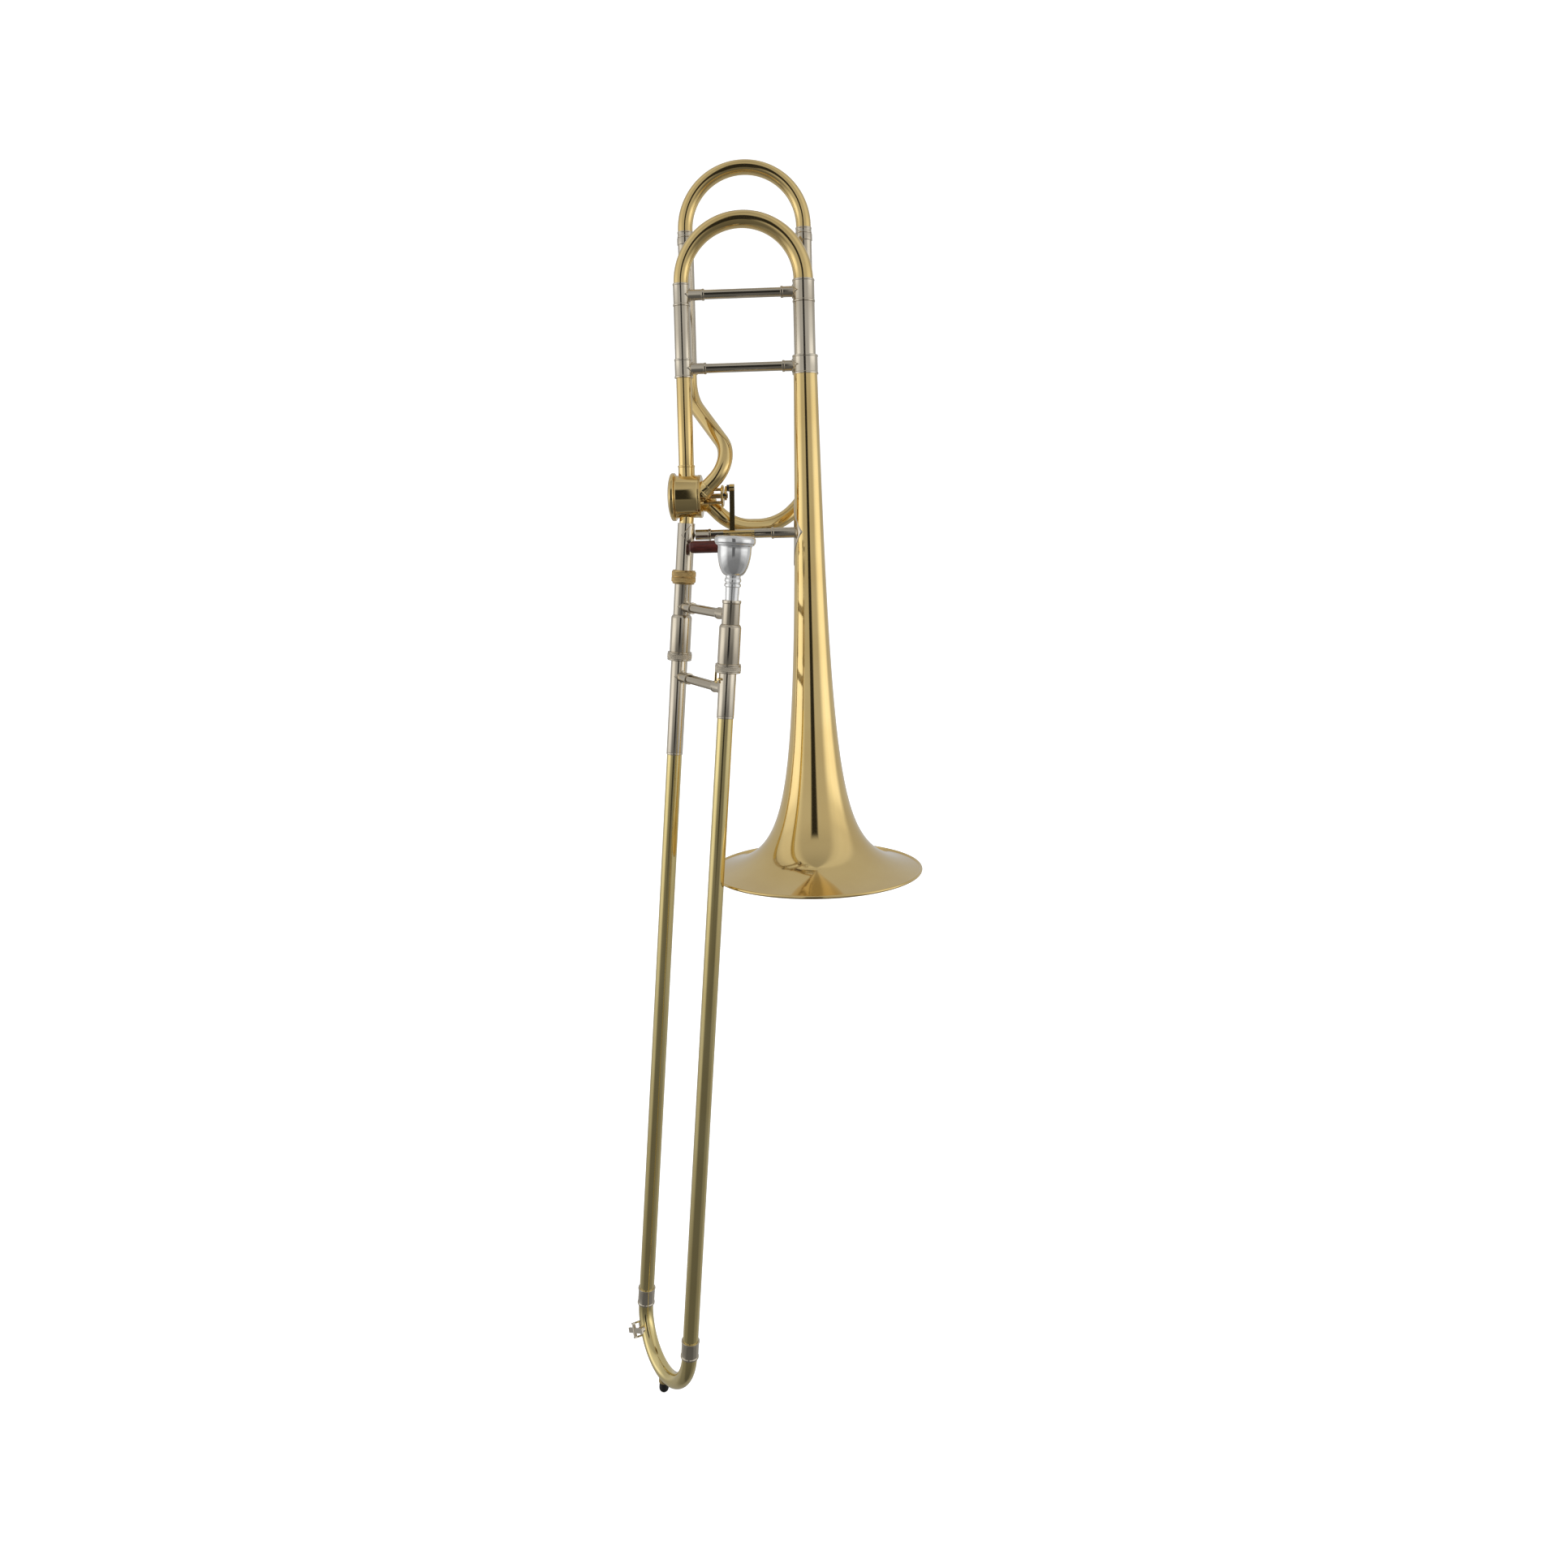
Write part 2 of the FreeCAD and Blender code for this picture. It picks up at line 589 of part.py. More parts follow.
# rubber stops: one ahead of the arm at each end of its quarter turn
STOP_RADIUS = 8.4
stop_blocks = []
for angle in (ARM_REST - 41.0, ARM_REST + 131.0):
    spot = Vector(0, math.cos(math.radians(angle)), math.sin(math.radians(angle))) * STOP_RADIUS
    stop_blocks.append(rod(1.5, arm_thick, valve_at(s.stop_plate_place + s.stop_plate_thick,
                                                    y=spot.y, z=spot.z), "stop"))
keep(group(*stop_blocks), "rotor_stops")


# ---------------------------------------------------------------- valve loop

def loop_tube(label, route, share):
    """One bent tube of the loop with the short ferrule where it leaves the valve."""
    wire = rounded_route(route, share)
    radius = s.loop_outer.value / 2
    skin = sweep(wire, radius)
    heading = (route[1] - route[0]).normalize()
    ring = Part.makeCylinder(radius + 0.9, 9.0, route[0] + heading * 10.0, heading)
    wide = s.casing_outer.value * 1.5
    room = Part.makeBox(wide, wide, wide, Vector(plate_place.value + s.back_plate.value - wide, -wide / 2,
                                                 s.rotor_level.value - wide / 2))
    body = skin.fuse(ring).cut(sweep(wire, radius - s.tube_wall.value)).cut(room)
    keep(solid_feature(body.removeSplitter(), "loop"), label)


loop_y = s.loop_offset.value
bell_x = s.bell_spacing.value
loop_foot = s.loop_level_low.value + 7.0
loop_tube("valve_loop_upper_tube",
          [near_port - rise * 6, near_port + rise * s.upper_reach.value,
           Vector(0, loop_y, s.loop_level_low.value - s.upper_drop.value), Vector(0, loop_y, loop_foot)], 0.6)

# the lower tube turns from 45 degrees down to straight up in three equal bends round one circle
turn_side = 2 * s.lower_turn.value * math.tan(math.radians(LOOP_RISE / 2))
corner_out = turn_side * math.cos(math.radians(LOOP_RISE))
third = Vector(bell_x, loop_y, 0)
first = far_port + fall * ((bell_x - turn_side - corner_out - far_port.x) / fall.x)
second = Vector(first.x + turn_side, (first.y + loop_y) / 2, first.z)
third.z = second.z + corner_out
loop_tube("valve_loop_lower_tube",
          [far_port - fall * 6, first, second, third, Vector(bell_x, loop_y, loop_foot)], 0.47)

loop_leg_outer = s.loop_outer - 0.3
loop_tube_outer = loop_leg_outer + s.slide_fit * 2 + s.tube_wall * 2


def loop_outer_tube(x):
    """A nickel outer tube of the loop, bored at its foot for the bent tube, beaded at its head."""
    length = s.loop_level_high - s.loop_level_low
    outline = [(s.loop_outer / 2, 0), (loop_tube_outer / 2, 0), (loop_tube_outer / 2, length - 7.0),
               (loop_tube_outer / 2 + 0.7, length - 7.0), (loop_tube_outer / 2 + 0.7, length),
               (loop_leg_outer / 2 + s.slide_fit, length), (loop_leg_outer / 2 + s.slide_fit, 7.2),
               (s.loop_outer / 2, 7.2)]
    return turned(None, outline, at(x, s.loop_offset, s.loop_level_low))


keep(group(loop_outer_tube(0), loop_outer_tube(s.bell_spacing)), "valve_loop_outer_tubes")

leg_head = s.loop_level_high + s.piece_gap + 3.0
loop_legs = [pipe(loop_leg_outer, loop_leg_outer - s.leg_wall * 2, s.loop_leg_reach + 3.0 + s.piece_gap,
                  at(x, s.loop_offset, leg_head - s.loop_leg_reach - 3.0 - s.piece_gap))
             for x in (as_size(0), s.bell_spacing)]
keep(group(*loop_legs), "valve_loop_legs")
loop_stub = s.loop_centre - leg_head
loop_bow = hollow_bow(s.bell_spacing.value, loop_stub.value, s.loop_outer.value, s.loop_outer.value,
                      s.tube_wall.value)
keep(solid_feature(loop_bow, "loop_bow"), "valve_loop_bow", at(0, s.loop_offset, s.loop_centre))
ferrule_foot = s.loop_level_high + s.piece_gap
loop_rings = [turned(None, [(loop_leg_outer / 2, 0), (s.loop_outer / 2 + 0.7, 0), (s.loop_outer / 2 + 0.7, 6.0),
                            (s.loop_outer / 2, 6.0), (s.loop_outer / 2, 3.0), (loop_leg_outer / 2, 3.0)],
                     at(x, s.loop_offset, ferrule_foot)) for x in (as_size(0), s.bell_spacing)]
keep(group(*loop_rings), "valve_loop_ferrules")

stays = []
for x, ferrule_radius in ((as_size(0), neck_ferrule_radius), (s.bell_spacing, bell_ferrule_radius)):
    level = s.joint_level_high - 4.0
    stays.append(cut(rod(s.stay_outer / 2, s.loop_offset, at(x, 0, level, ALONG_Y)),
                     rod(ferrule_radius, 20, at(x, 0, level - 10)),
                     rod(loop_tube_outer / 2, 20, at(x, s.loop_offset, level - 10))))
keep(group(*stays), "valve_loop_stays")


# ---------------------------------------------------------------- braces

def diamond(half_height, half_width, length):
    """A diamond prism along +X, its long diagonal upright."""
    corners = [Vector(0, 0, half_height), Vector(0, half_width, 0), Vector(0, 0, -half_height),
               Vector(0, -half_width, 0), Vector(0, 0, half_height)]
    return Part.Face(Part.makePolygon(corners)).extrude(Vector(length, 0, 0))


def round_flange(radius, half_height, half_width, toward):
    """A diamond of sheet hugging a tube of this radius, on the side that faces the brace."""
    wall = s.flange_wall.value
    shell = Part.makeCylinder(radius + wall, 4 * half_height, Vector(0, 0, -2 * half_height))
    shell = shell.cut(Part.makeCylinder(radius, 4 * half_height, Vector(0, 0, -2 * half_height)))
    prism = diamond(half_height, half_width, toward * (radius + 5))
    return shell.common(prism)


def brace_shapes(span, radius_a, radius_b, half_a=None, half_b=None):
    """A rod with a socket at each end, each socket soldered to a tube by a diamond flange."""
    half_a = half_a or s.flange_half.value
    half_b = half_b or s.flange_half.value
    reach, socket = s.socket_reach.value, s.socket_outer.value / 2
    wide = 0.9
    ends = []
    for origin, toward, radius, half in ((0, 1, radius_a, half_a), (span, -1, radius_b, half_b)):
        barrel = Part.makeCylinder(socket, reach, Vector(0, 0, 0), Vector(toward, 0, 0))
        collar = Part.makeCylinder(socket + 0.5, 2.0, Vector(toward * (reach - 2.0), 0, 0), Vector(toward, 0, 0))
        full = Part.makeCylinder(radius, 200, Vector(0, 0, -100))
        end = barrel.fuse(collar).cut(full).fuse(round_flange(radius, half, radius * wide, toward))
        end.translate(Vector(origin, 0, 0))
        ends.append(end.removeSplitter())
    bar = Part.makeCylinder(s.brace_outer.value / 2, span - 2 * reach, Vector(reach, 0, 0), SIDE)
    return [bar] + ends


def brace(label, shapes, place):
    keep(solid_feature(Part.makeCompound(shapes), "brace"), label, place)


neck_bow_ferrule_outer = s.neck_leg_outer + s.ring_wall * 2
bell_bow_ferrule_outer = s.bell_leg_outer + s.ring_wall * 2
brace("tuning_slide_brace",
      brace_shapes(bell_x, neck_bow_ferrule_outer.value / 2, bell_bow_ferrule_outer.value / 2),
      at(0, 0, s.upper_brace_level))
brace("upper_bell_brace",
      brace_shapes(bell_x, neck_ferrule_radius, bell_ferrule_radius),
      at(0, 0, s.middle_brace_level))


def lower_bell_brace():
    """Receiver to bell: the receiver's end follows its lean and the bell's end follows the flare."""
    level = -s.lower_brace_level.value
    reach, socket = s.socket_reach.value, s.socket_outer.value / 2
    receiver = Part.makeCylinder(s.receiver_outer.value / 2, 120)
    receiver.Placement = on_slide(0, 0, 110)
    start = Part.makeCylinder(socket, reach, Vector(0, 0, level), SIDE).cut(receiver)
    half = s.receiver_flange_half.value
    sheath = Part.makeCylinder(s.receiver_outer.value / 2 + s.flange_wall.value, 120)
    sheath.Placement = on_slide(0, 0, 110)
    patch = diamond(half, half * 0.9, 20)
    patch.translate(Vector(0, 0, level))
    start = start.fuse(sheath.cut(receiver).common(patch)).removeSplitter()

    above = s.bell_rim_level.value + level
    bell_half = s.bell_flange_half.value
    low, high = above - bell_half - 6, above + bell_half + 6
    solid = flare_solid(0, low, high)
    shell = flare_solid(-s.flange_wall.value, low, high).cut(solid)
    shell.translate(Vector(bell_x, 0, -s.bell_rim_level.value))
    solid.translate(Vector(bell_x, 0, -s.bell_rim_level.value))
    patch = diamond(bell_half, flare_radius(above) * 0.92, -30)
    patch.translate(Vector(bell_x, 0, level))
    bell_end = bell_x - flare_radius(above)
    finish = Part.makeCylinder(socket, reach + 10, Vector(bell_end + 10, 0, level), SIDE * -1)
    finish = finish.cut(solid).fuse(shell.common(patch)).removeSplitter()
    bar_end = bell_end - reach
    bar = Part.makeCylinder(s.brace_outer.value / 2, bar_end - reach, Vector(reach, 0, level), SIDE)
    return [bar, start, finish]


brace("lower_bell_brace", lower_bell_brace(), at())

# ---------------------------------------------------------------- main tuning slide

bow_height = s.bow_level_high - s.bow_level_low
bow_stub = bow_height / 2
bow_neck_end = s.neck_leg_outer - 0.2
bow_bell_end = s.bell_leg_outer - 0.6
tuning_bow = hollow_bow(bell_x, bow_stub.value, bow_neck_end.value, bow_bell_end.value, s.tube_wall.value)
keep(solid_feature(tuning_bow, "bow"), "tuning_bow", at(0, 0, s.bow_level_high))
stepped_ferrule("tuning_bow_ferrule_neck", bow_height, s.neck_leg_outer, bow_neck_end,
                at(0, 0, s.bow_level_low))
stepped_ferrule("tuning_bow_ferrule_bell", bow_height, s.bell_leg_outer, bow_bell_end,
                at(s.bell_spacing, 0, s.bow_level_low))
for label, outer, x in (("tuning_leg_neck", s.neck_leg_outer, as_size(0)),
                        ("tuning_leg_bell", s.bell_leg_outer, s.bell_spacing)):
    keep(pipe(outer, outer - s.leg_wall * 2, s.leg_reach + bow_stub + s.piece_gap), label,
         at(x, 0, s.bow_level_low - s.leg_reach - s.piece_gap))

# ---------------------------------------------------------------- thumb lever and link

hinge_front = s.socket_outer / 2 + s.hinge_tube / 2 + 1.0
hinge_y = 0 - hinge_front
hinge_z = 0 - s.lower_brace_level


def hinge_at(x, turn=ALONG_X):
    return at(x, hinge_y, hinge_z, turn)


saddle_posts = []
for x in (s.hinge_left, s.hinge_right):
    post = cut(fuse(rod(s.hinge_tube / 2, s.hinge_post, hinge_at(x)),
                    block(s.hinge_post, hinge_front, 5.0, at(x, hinge_y, hinge_z - 2.5))),
               rod(s.brace_outer / 2, s.hinge_post, at(x, 0, hinge_z, ALONG_X)),
               rod(s.hinge_rod / 2, s.hinge_post, hinge_at(x)))
    saddle_posts.append(post)
keep(group(*saddle_posts), "lever_posts")
keep(rod(s.hinge_rod / 2, s.hinge_right - s.hinge_left + s.hinge_post, hinge_at(s.hinge_left), "pin"),
     "lever_hinge_rod")

link_front = s.link_radius.value * math.cos(math.radians(ARM_REST))
link_level = s.rotor_level.value + s.link_radius.value * math.sin(math.radians(ARM_REST))
lever_lift = link_level - hinge_z.value
lever_lean = math.asin(link_front / lever_lift)
lever_tip = Vector(0, hinge_y.value + lever_lift * math.tan(lever_lean), link_level)
link_place = arm_place + arm_thick + s.piece_gap
bar_place = link_place + s.link_thick + s.piece_gap
bar_length = as_size(lever_lift / math.cos(lever_lean) + 3.5)
lean_turn = Rotation(SIDE, -math.degrees(lever_lean))
tube_start = s.hinge_left + s.hinge_post + s.piece_gap
tube_reach = s.hinge_right - s.hinge_left - s.hinge_post - s.piece_gap * 2
touch_y = 0 - s.touch_front
touch_z = 0 - s.touch_level
arm_reach = math.hypot(touch_y.value - hinge_y.value, touch_z.value - hinge_z.value)
drop_turn = Rotation(SIDE, 180 + math.degrees(math.atan2(hinge_y.value - touch_y.value,
                                                         hinge_z.value - touch_z.value) * -1))
lever = cut(fuse(rod(s.hinge_tube / 2, tube_reach, hinge_at(tube_start)),
                 block(s.lever_wide, s.lever_thick, bar_length,
                       hinge_at(bar_place, lean_turn).multiply(at(0, s.lever_thick / -2, 0)), "bar"),
                 rod(s.lever_wide / 2 + 1.2, s.lever_wide, at(bar_place, lever_tip.y, lever_tip.z, ALONG_X)),
                 block(s.lever_wide, s.lever_thick, arm_reach,
                       hinge_at(bar_place, drop_turn).multiply(at(0, s.lever_thick / -2, 0)), "drop"),
                 rod(s.touch_outer / 2 - 1.5, s.lever_wide, at(bar_place, touch_y, touch_z, ALONG_X)),
                 rod(1.0, s.link_thick + s.piece_gap,
                     at(link_place, lever_tip.y, lever_tip.z, ALONG_X), "stub")),
            rod(s.hinge_rod / 2 + s.slide_fit, s.hinge_right, hinge_at(s.hinge_left)))
keep(lever, "thumb_lever")
touch_radius = s.touch_outer / 2
turned("thumb_bar", [(0, 0), (touch_radius * 0.55, 0), (touch_radius * 0.88, touch_radius * 0.3),
                     (touch_radius, touch_radius * 0.8), (touch_radius, bar_place - s.touch_left),
                     (0, bar_place - s.touch_left)],
       at(s.touch_left, touch_y, touch_z, ALONG_X))

# the rod rides on the lever's stub; the far end stands clear of the stop arm's pin
link_gap = as_size(lever_tip.y - arm_tip.y)
link_length = abs(link_gap.value)
link_body = cut(fuse(rod(3.2, s.link_thick, at(link_place, lever_tip.y, lever_tip.z, ALONG_X), "eye"),
                     rod(3.2, s.link_thick, at(link_place, arm_tip.y, arm_tip.z, ALONG_X)),
                     block(s.link_thick, link_length, 2.6,
                           at(link_place, min(lever_tip.y, arm_tip.y), link_level - 1.3))),
                rod(1.0 + s.slide_fit, s.link_thick, at(link_place, lever_tip.y, lever_tip.z, ALONG_X)))
keep(link_body, "link_rod")

# ---------------------------------------------------------------- receiver, nut and inner slide

receiver_bore = s.tenon_outer + s.slide_fit * 2
receiver_end = s.receiver_foot + s.thread_length
receiver_length = receiver_end - s.receiver_top
turned("slide_receiver",
       [(receiver_bore / 2, 0), (s.thread_outer / 2, 0), (s.thread_outer / 2, s.thread_length - 1.0),
        (s.receiver_outer / 2, s.thread_length - 1.0), (s.receiver_outer / 2, receiver_length),
        (knuckle_outer / 2, receiver_length), (knuckle_outer / 2, receiver_length - 7.0),
        (receiver_bore / 2, receiver_length - 7.0)],
       on_slide(0, 0, receiver_end))

nut_head = s.receiver_foot + 0.6
nut_height = s.nut_foot - nut_head
shoulder = as_size(3.0)
nut_bore = s.thread_outer / 2 + s.slide_fit
turned("receiver_nut",
       [(s.grip_outer / 2 + s.slide_fit, 0), (s.nut_outer / 2 - 1.2, 0), (s.nut_outer / 2 - 1.2, 2.0),
        (s.nut_outer / 2, 2.4), (s.nut_outer / 2, nut_height - 1.6), (s.nut_outer / 2 - 1.0, nut_height),
        (nut_bore, nut_height), (nut_bore, shoulder), (s.grip_outer / 2 + s.slide_fit, shoulder)],
       on_slide(0, 0, s.nut_foot))

tenon_top = receiver_step + 1.0
barrel_floor = as_size(5.0)
tenon_length = s.barrel_top - tenon_top
collar_foot = s.barrel_top - s.nut_foot + shoulder + 0.3
collar_head = s.barrel_top - receiver_end - 0.3
turned("slide_tenon",
       [(s.inner_tube_outer / 2, 0), (s.grip_outer / 2, 0), (s.grip_outer / 2, collar_foot),
        (s.thread_outer / 2, collar_foot), (s.thread_outer / 2, collar_head),
        (s.tenon_outer / 2, collar_head), (s.tenon_outer / 2, tenon_length),
        (s.inner_tube_bore / 2, tenon_length), (s.inner_tube_bore / 2, 20.0), (s.inner_tube_outer / 2, 20.0)],
       on_slide(0, 0, s.barrel_top))

inner_foot = s.crook_joint_top - 4.0
tube_top_left = s.barrel_top - 20.0
mouth_receiver_foot = s.barrel_top
shank_end = s.mouth_receiver_top + s.shank_reach
tube_top_right = shank_end + 0.8
for label, x, top in (("inner_tube_receiver_side", as_size(0), tube_top_left),
                      ("inner_tube_mouthpiece_side", s.slide_spacing, tube_top_right)):
    length = inner_foot - top
    turned(label, [(s.inner_tube_bore / 2, 0), (s.stocking_outer / 2 - 0.3, 0), (s.stocking_outer / 2, 1.0),
                   (s.stocking_outer / 2, s.stocking_length), (s.inner_tube_outer / 2, s.stocking_length + 2.0),
                   (s.inner_tube_outer / 2, length), (s.inner_tube_bore / 2, length)],
           on_slide(x, 0, inner_foot))


def barrel(x):
    """A cork barrel: closed round the inner tube at its head, open below, with a nose for the ring."""
    length = s.barrel_foot - s.barrel_top
    nose = s.barrel_nose
    outline = [(s.barrel_bore / 2, 0), (s.nose_outer / 2, 0), (s.nose_outer / 2, nose),
               (s.barrel_outer / 2, nose), (s.barrel_outer / 2, nose + length - 2.0),
               (s.barrel_outer / 2 - 1.6, nose + length), (s.inner_tube_outer / 2, nose + length),
               (s.inner_tube_outer / 2, nose + length - barrel_floor),
               (s.barrel_bore / 2, nose + length - barrel_floor)]
    return turned(None, outline, on_slide(x, 0, s.barrel_foot + nose))


keep(group(barrel(as_size(0)), barrel(s.slide_spacing)), "cork_barrels")
cork_height = as_size(4.5)
corks = [pipe(s.barrel_bore, s.inner_tube_outer, cork_height,
              on_slide(x, 0, s.barrel_top + barrel_floor + cork_height))
         for x in (as_size(0), s.slide_spacing)]
keep(group(*corks), "barrel_corks")


def end_ring_outline(bore):
    """A knurled ring: a flat band with a thin lip above and below."""
    outer = s.end_ring_outer / 2
    height = s.end_ring_height
    return [(bore, 0), (outer - 0.6, 0), (outer, 0.6), (outer, height - 0.6), (outer - 0.6, height),
            (bore, height)]


ring_foot = s.barrel_foot + s.end_ring_height
turned("barrel_end_ring", end_ring_outline(s.nose_outer / 2), on_slide(0, 0, ring_foot))

mouth_receiver_length = mouth_receiver_foot - s.mouth_receiver_top
shank_room = s.shank_reach + 0.8
turned("mouthpiece_receiver",
       [(s.inner_tube_outer / 2, 0), (s.mouth_receiver_outer / 2, 0),
        (s.mouth_receiver_outer / 2, mouth_receiver_length - 3.0),
        (s.mouth_receiver_outer / 2 + 0.6, mouth_receiver_length - 2.6),
        (s.mouth_receiver_outer / 2 + 0.6, mouth_receiver_length),
        (s.shank_outer / 2 + s.slide_fit, mouth_receiver_length),
        (s.shank_tip / 2 + s.slide_fit, mouth_receiver_length - shank_room),
        (s.inner_tube_outer / 2, mouth_receiver_length - shank_room)],
       on_slide(s.slide_spacing, 0, mouth_receiver_foot))

spacing = s.slide_spacing.value
brace("inner_slide_brace",
      brace_shapes(spacing, s.grip_outer.value / 2, s.mouth_receiver_outer.value / 2, 7.0, 7.0),
      on_slide(0, 0, s.inner_brace_level))

# ---------------------------------------------------------------- slide lock

# angles are turned about the mouthpiece-side tube, from the line away from the other tube
STUD_ANGLE = -78.0
HOOK_ANGLE = -122.0
HOOK_SPREAD = 26.0
HOOK_RADIUS = 11.3
outer_tube_bore = s.stocking_outer + s.slide_fit * 2
outer_tube_outer = outer_tube_bore + s.outer_tube_wall * 2
sleeve_outer = outer_tube_outer + s.sleeve_wall * 2


def arc_block(inner, outer, start, spread, low, height):
    """A curved block: part of a ring between two radii and two angles."""
    sector = Part.makeCylinder(outer, height, Vector(0, 0, low), UP, spread)
    sector = sector.cut(Part.makeCylinder(inner, height, Vector(0, 0, low), UP, 360))
    sector.rotate(Vector(0, 0, 0), UP, start)
    return sector


def lock_ring():
    """The turning ring with its hook: a bar down from the ring and a foot that passes under the stud."""
    bore = s.nose_outer.value / 2 + s.slide_fit.value
    outer, height = s.end_ring_outer.value / 2, s.end_ring_height.value
    ring = Part.makeCylinder(outer, height).cut(Part.makeCylinder(bore, height))
    foot_top = -(s.stud_level.value + s.stud_outer.value / 2 + 0.6 - ring_foot.value)
    foot_thick = 2.6
    inner = HOOK_RADIUS - 1.1
    bar = arc_block(inner, outer, HOOK_ANGLE - 7, 14, foot_top - foot_thick, foot_thick - foot_top + 1.0)
    foot = arc_block(inner, outer, HOOK_ANGLE, HOOK_SPREAD, foot_top - foot_thick, foot_thick)
    return ring.fuse(bar).fuse(foot).removeSplitter()


keep(solid_feature(lock_ring(), "lock"), "slide_lock_ring", on_slide(s.slide_spacing, 0, ring_foot))

# ---------------------------------------------------------------- outer slide

outer_top = s.barrel_top + barrel_floor + cork_height + s.piece_gap
outer_foot = (s.crook_joint_top + s.crook_joint_foot) / 2
outer_tubes = [pipe(outer_tube_outer, outer_tube_bore, outer_foot - outer_top, on_slide(x, 0, outer_foot))
               for x in (as_size(0), s.slide_spacing)]
keep(group(*outer_tubes), "outer_slide_tubes")
sleeve_top = ring_foot + s.piece_gap
sleeves = [pipe(sleeve_outer, outer_tube_outer, length, on_slide(x, 0, sleeve_top + length))
           for x, length in ((as_size(0), s.sleeve_long), (s.slide_spacing, s.sleeve_short))]
keep(group(*sleeves), "outer_slide_sleeves")
brace("outer_slide_brace", brace_shapes(spacing, sleeve_outer.value / 2, sleeve_outer.value / 2, 7.0, 7.0),
      on_slide(0, 0, s.outer_brace_level))

stud_turn = Rotation(UP, STUD_ANGLE).multiply(ALONG_X)
stud = cut(rod(s.stud_outer / 2, s.end_ring_outer / 2, on_slide(s.slide_spacing, 0, s.stud_level, stud_turn)),
           rod(sleeve_outer / 2, 20, on_slide(s.slide_spacing, 0, s.stud_level + 10)))
keep(stud, "slide_lock_stud")

crook_stub = s.crook_joint_foot - outer_foot
TURN_OVER = Rotation(SIDE, 180)
crook = hollow_bow(spacing, crook_stub.value, outer_tube_outer.value, outer_tube_outer.value,
                   s.tube_wall.value)
keep(solid_feature(crook, "crook"), "slide_crook", on_slide(0, 0, s.crook_joint_foot, TURN_OVER))
crook_height = s.crook_joint_foot - s.crook_joint_top
crook_rings = []
for x in (as_size(0), s.slide_spacing):
    outer = outer_tube_outer / 2 + s.ring_wall + 0.4
    crook_rings.append(turned(None, [
        (outer_tube_outer / 2, 0), (outer + 0.5, 0), (outer + 0.5, 1.8), (outer, 2.2), (outer, crook_height - 2.2),
        (outer + 0.5, crook_height - 1.8), (outer + 0.5, crook_height), (outer_tube_outer / 2, crook_height)],
        on_slide(x, 0, s.crook_joint_foot)))
keep(group(*crook_rings), "crook_ferrules")

crook_low = s.crook_joint_foot + s.slide_spacing / 2 + outer_tube_outer / 2
socket_height = as_size(3.0)


def crook_hug(shape):
    """Take the crook's own round out of a piece that is soldered to it."""
    ring = sweep(bow_wire(spacing, 1.0), outer_tube_outer.value / 2)
    ring.Placement = on_slide(0, 0, s.crook_joint_foot, TURN_OVER)
    return shape.cut(ring)


bumper_seat = Part.makeCylinder(s.bumper_outer.value / 2 + 0.9, socket_height.value + 3)
bumper_seat.Placement = on_slide(s.slide_spacing / 2, 0, crook_low + socket_height - 1.0)
keep(solid_feature(crook_hug(bumper_seat), "seat"), "bumper_seat")
tip = s.bumper_length
turned("slide_bumper", [(0, 0), (s.bumper_outer * 0.3, 0), (s.bumper_outer * 0.44, tip * 0.1),
                        (s.bumper_outer / 2, tip * 0.3), (s.bumper_outer / 2, tip), (0, tip)],
       on_slide(s.slide_spacing / 2, 0, crook_low + socket_height - 1.0 + tip))

# ---------------------------------------------------------------- water key

KEY_TURN = math.radians(s.key_angle.value)


def key_frame():
    """On the crook: local X across the tube towards its inside, Z out of the tube, Y along it."""
    radius = spacing / 2
    centre = Vector(radius - radius * math.cos(KEY_TURN), 0,
                    -(s.crook_joint_foot.value + radius * math.sin(KEY_TURN)))
    across = Vector(math.cos(KEY_TURN), 0, math.sin(KEY_TURN))
    out = Vector(0, -1, 0)
    along = out.cross(across)
    return SLIDE.multiply(Placement(Matrix(across.x, along.x, out.x, centre.x,
                                           across.y, along.y, out.y, centre.y,
                                           across.z, along.z, out.z, centre.z,
                                           0, 0, 0, 1)))


KEY = key_frame()
key_height = outer_tube_outer / 2 + 4.6
PIVOT_ACROSS = -7.5
NIPPLE_ACROSS = 2.0


def key_at(x=0, y=0, z=0, turn=None):
    return KEY.multiply(at(x, y, z, turn))


pin_turn = Rotation(SIDE, 90)
saddle = fuse(*[block(3.2, 1.6, key_height + 1.6, key_at(PIVOT_ACROSS - 1.6, y, 0)) for y in (-7.6, 6.0)],
              block(3.2, 15.2, outer_tube_outer / 2 - 2.0, key_at(PIVOT_ACROSS - 1.6, -7.6, 0)))
pin_room = rod(0.9, 15.2, key_at(PIVOT_ACROSS, 7.6, key_height, pin_turn), "pin_room")
nipple = rod(3.4, outer_tube_outer / 2 + 2.2, key_at(NIPPLE_ACROSS, 0, 0), "nipple")
document.recompute()
keep(solid_feature(crook_hug(saddle.Shape.cut(pin_room.Shape).fuse(nipple.Shape)), "saddle"), "water_key_seat")
key_lever = cut(fuse(block(s.key_length, 5.0, 1.8, key_at(PIVOT_ACROSS - 13.0, -2.5, key_height - 0.9)),
                     rod(1.9, 11.2, key_at(PIVOT_ACROSS, 5.6, key_height, pin_turn))),
                rod(0.9 + s.slide_fit, 12, key_at(PIVOT_ACROSS, 6.0, key_height, pin_turn)))
keep(key_lever, "water_key_lever")
cork_length = key_height - 0.9 - outer_tube_outer / 2 - 2.2 - 0.05
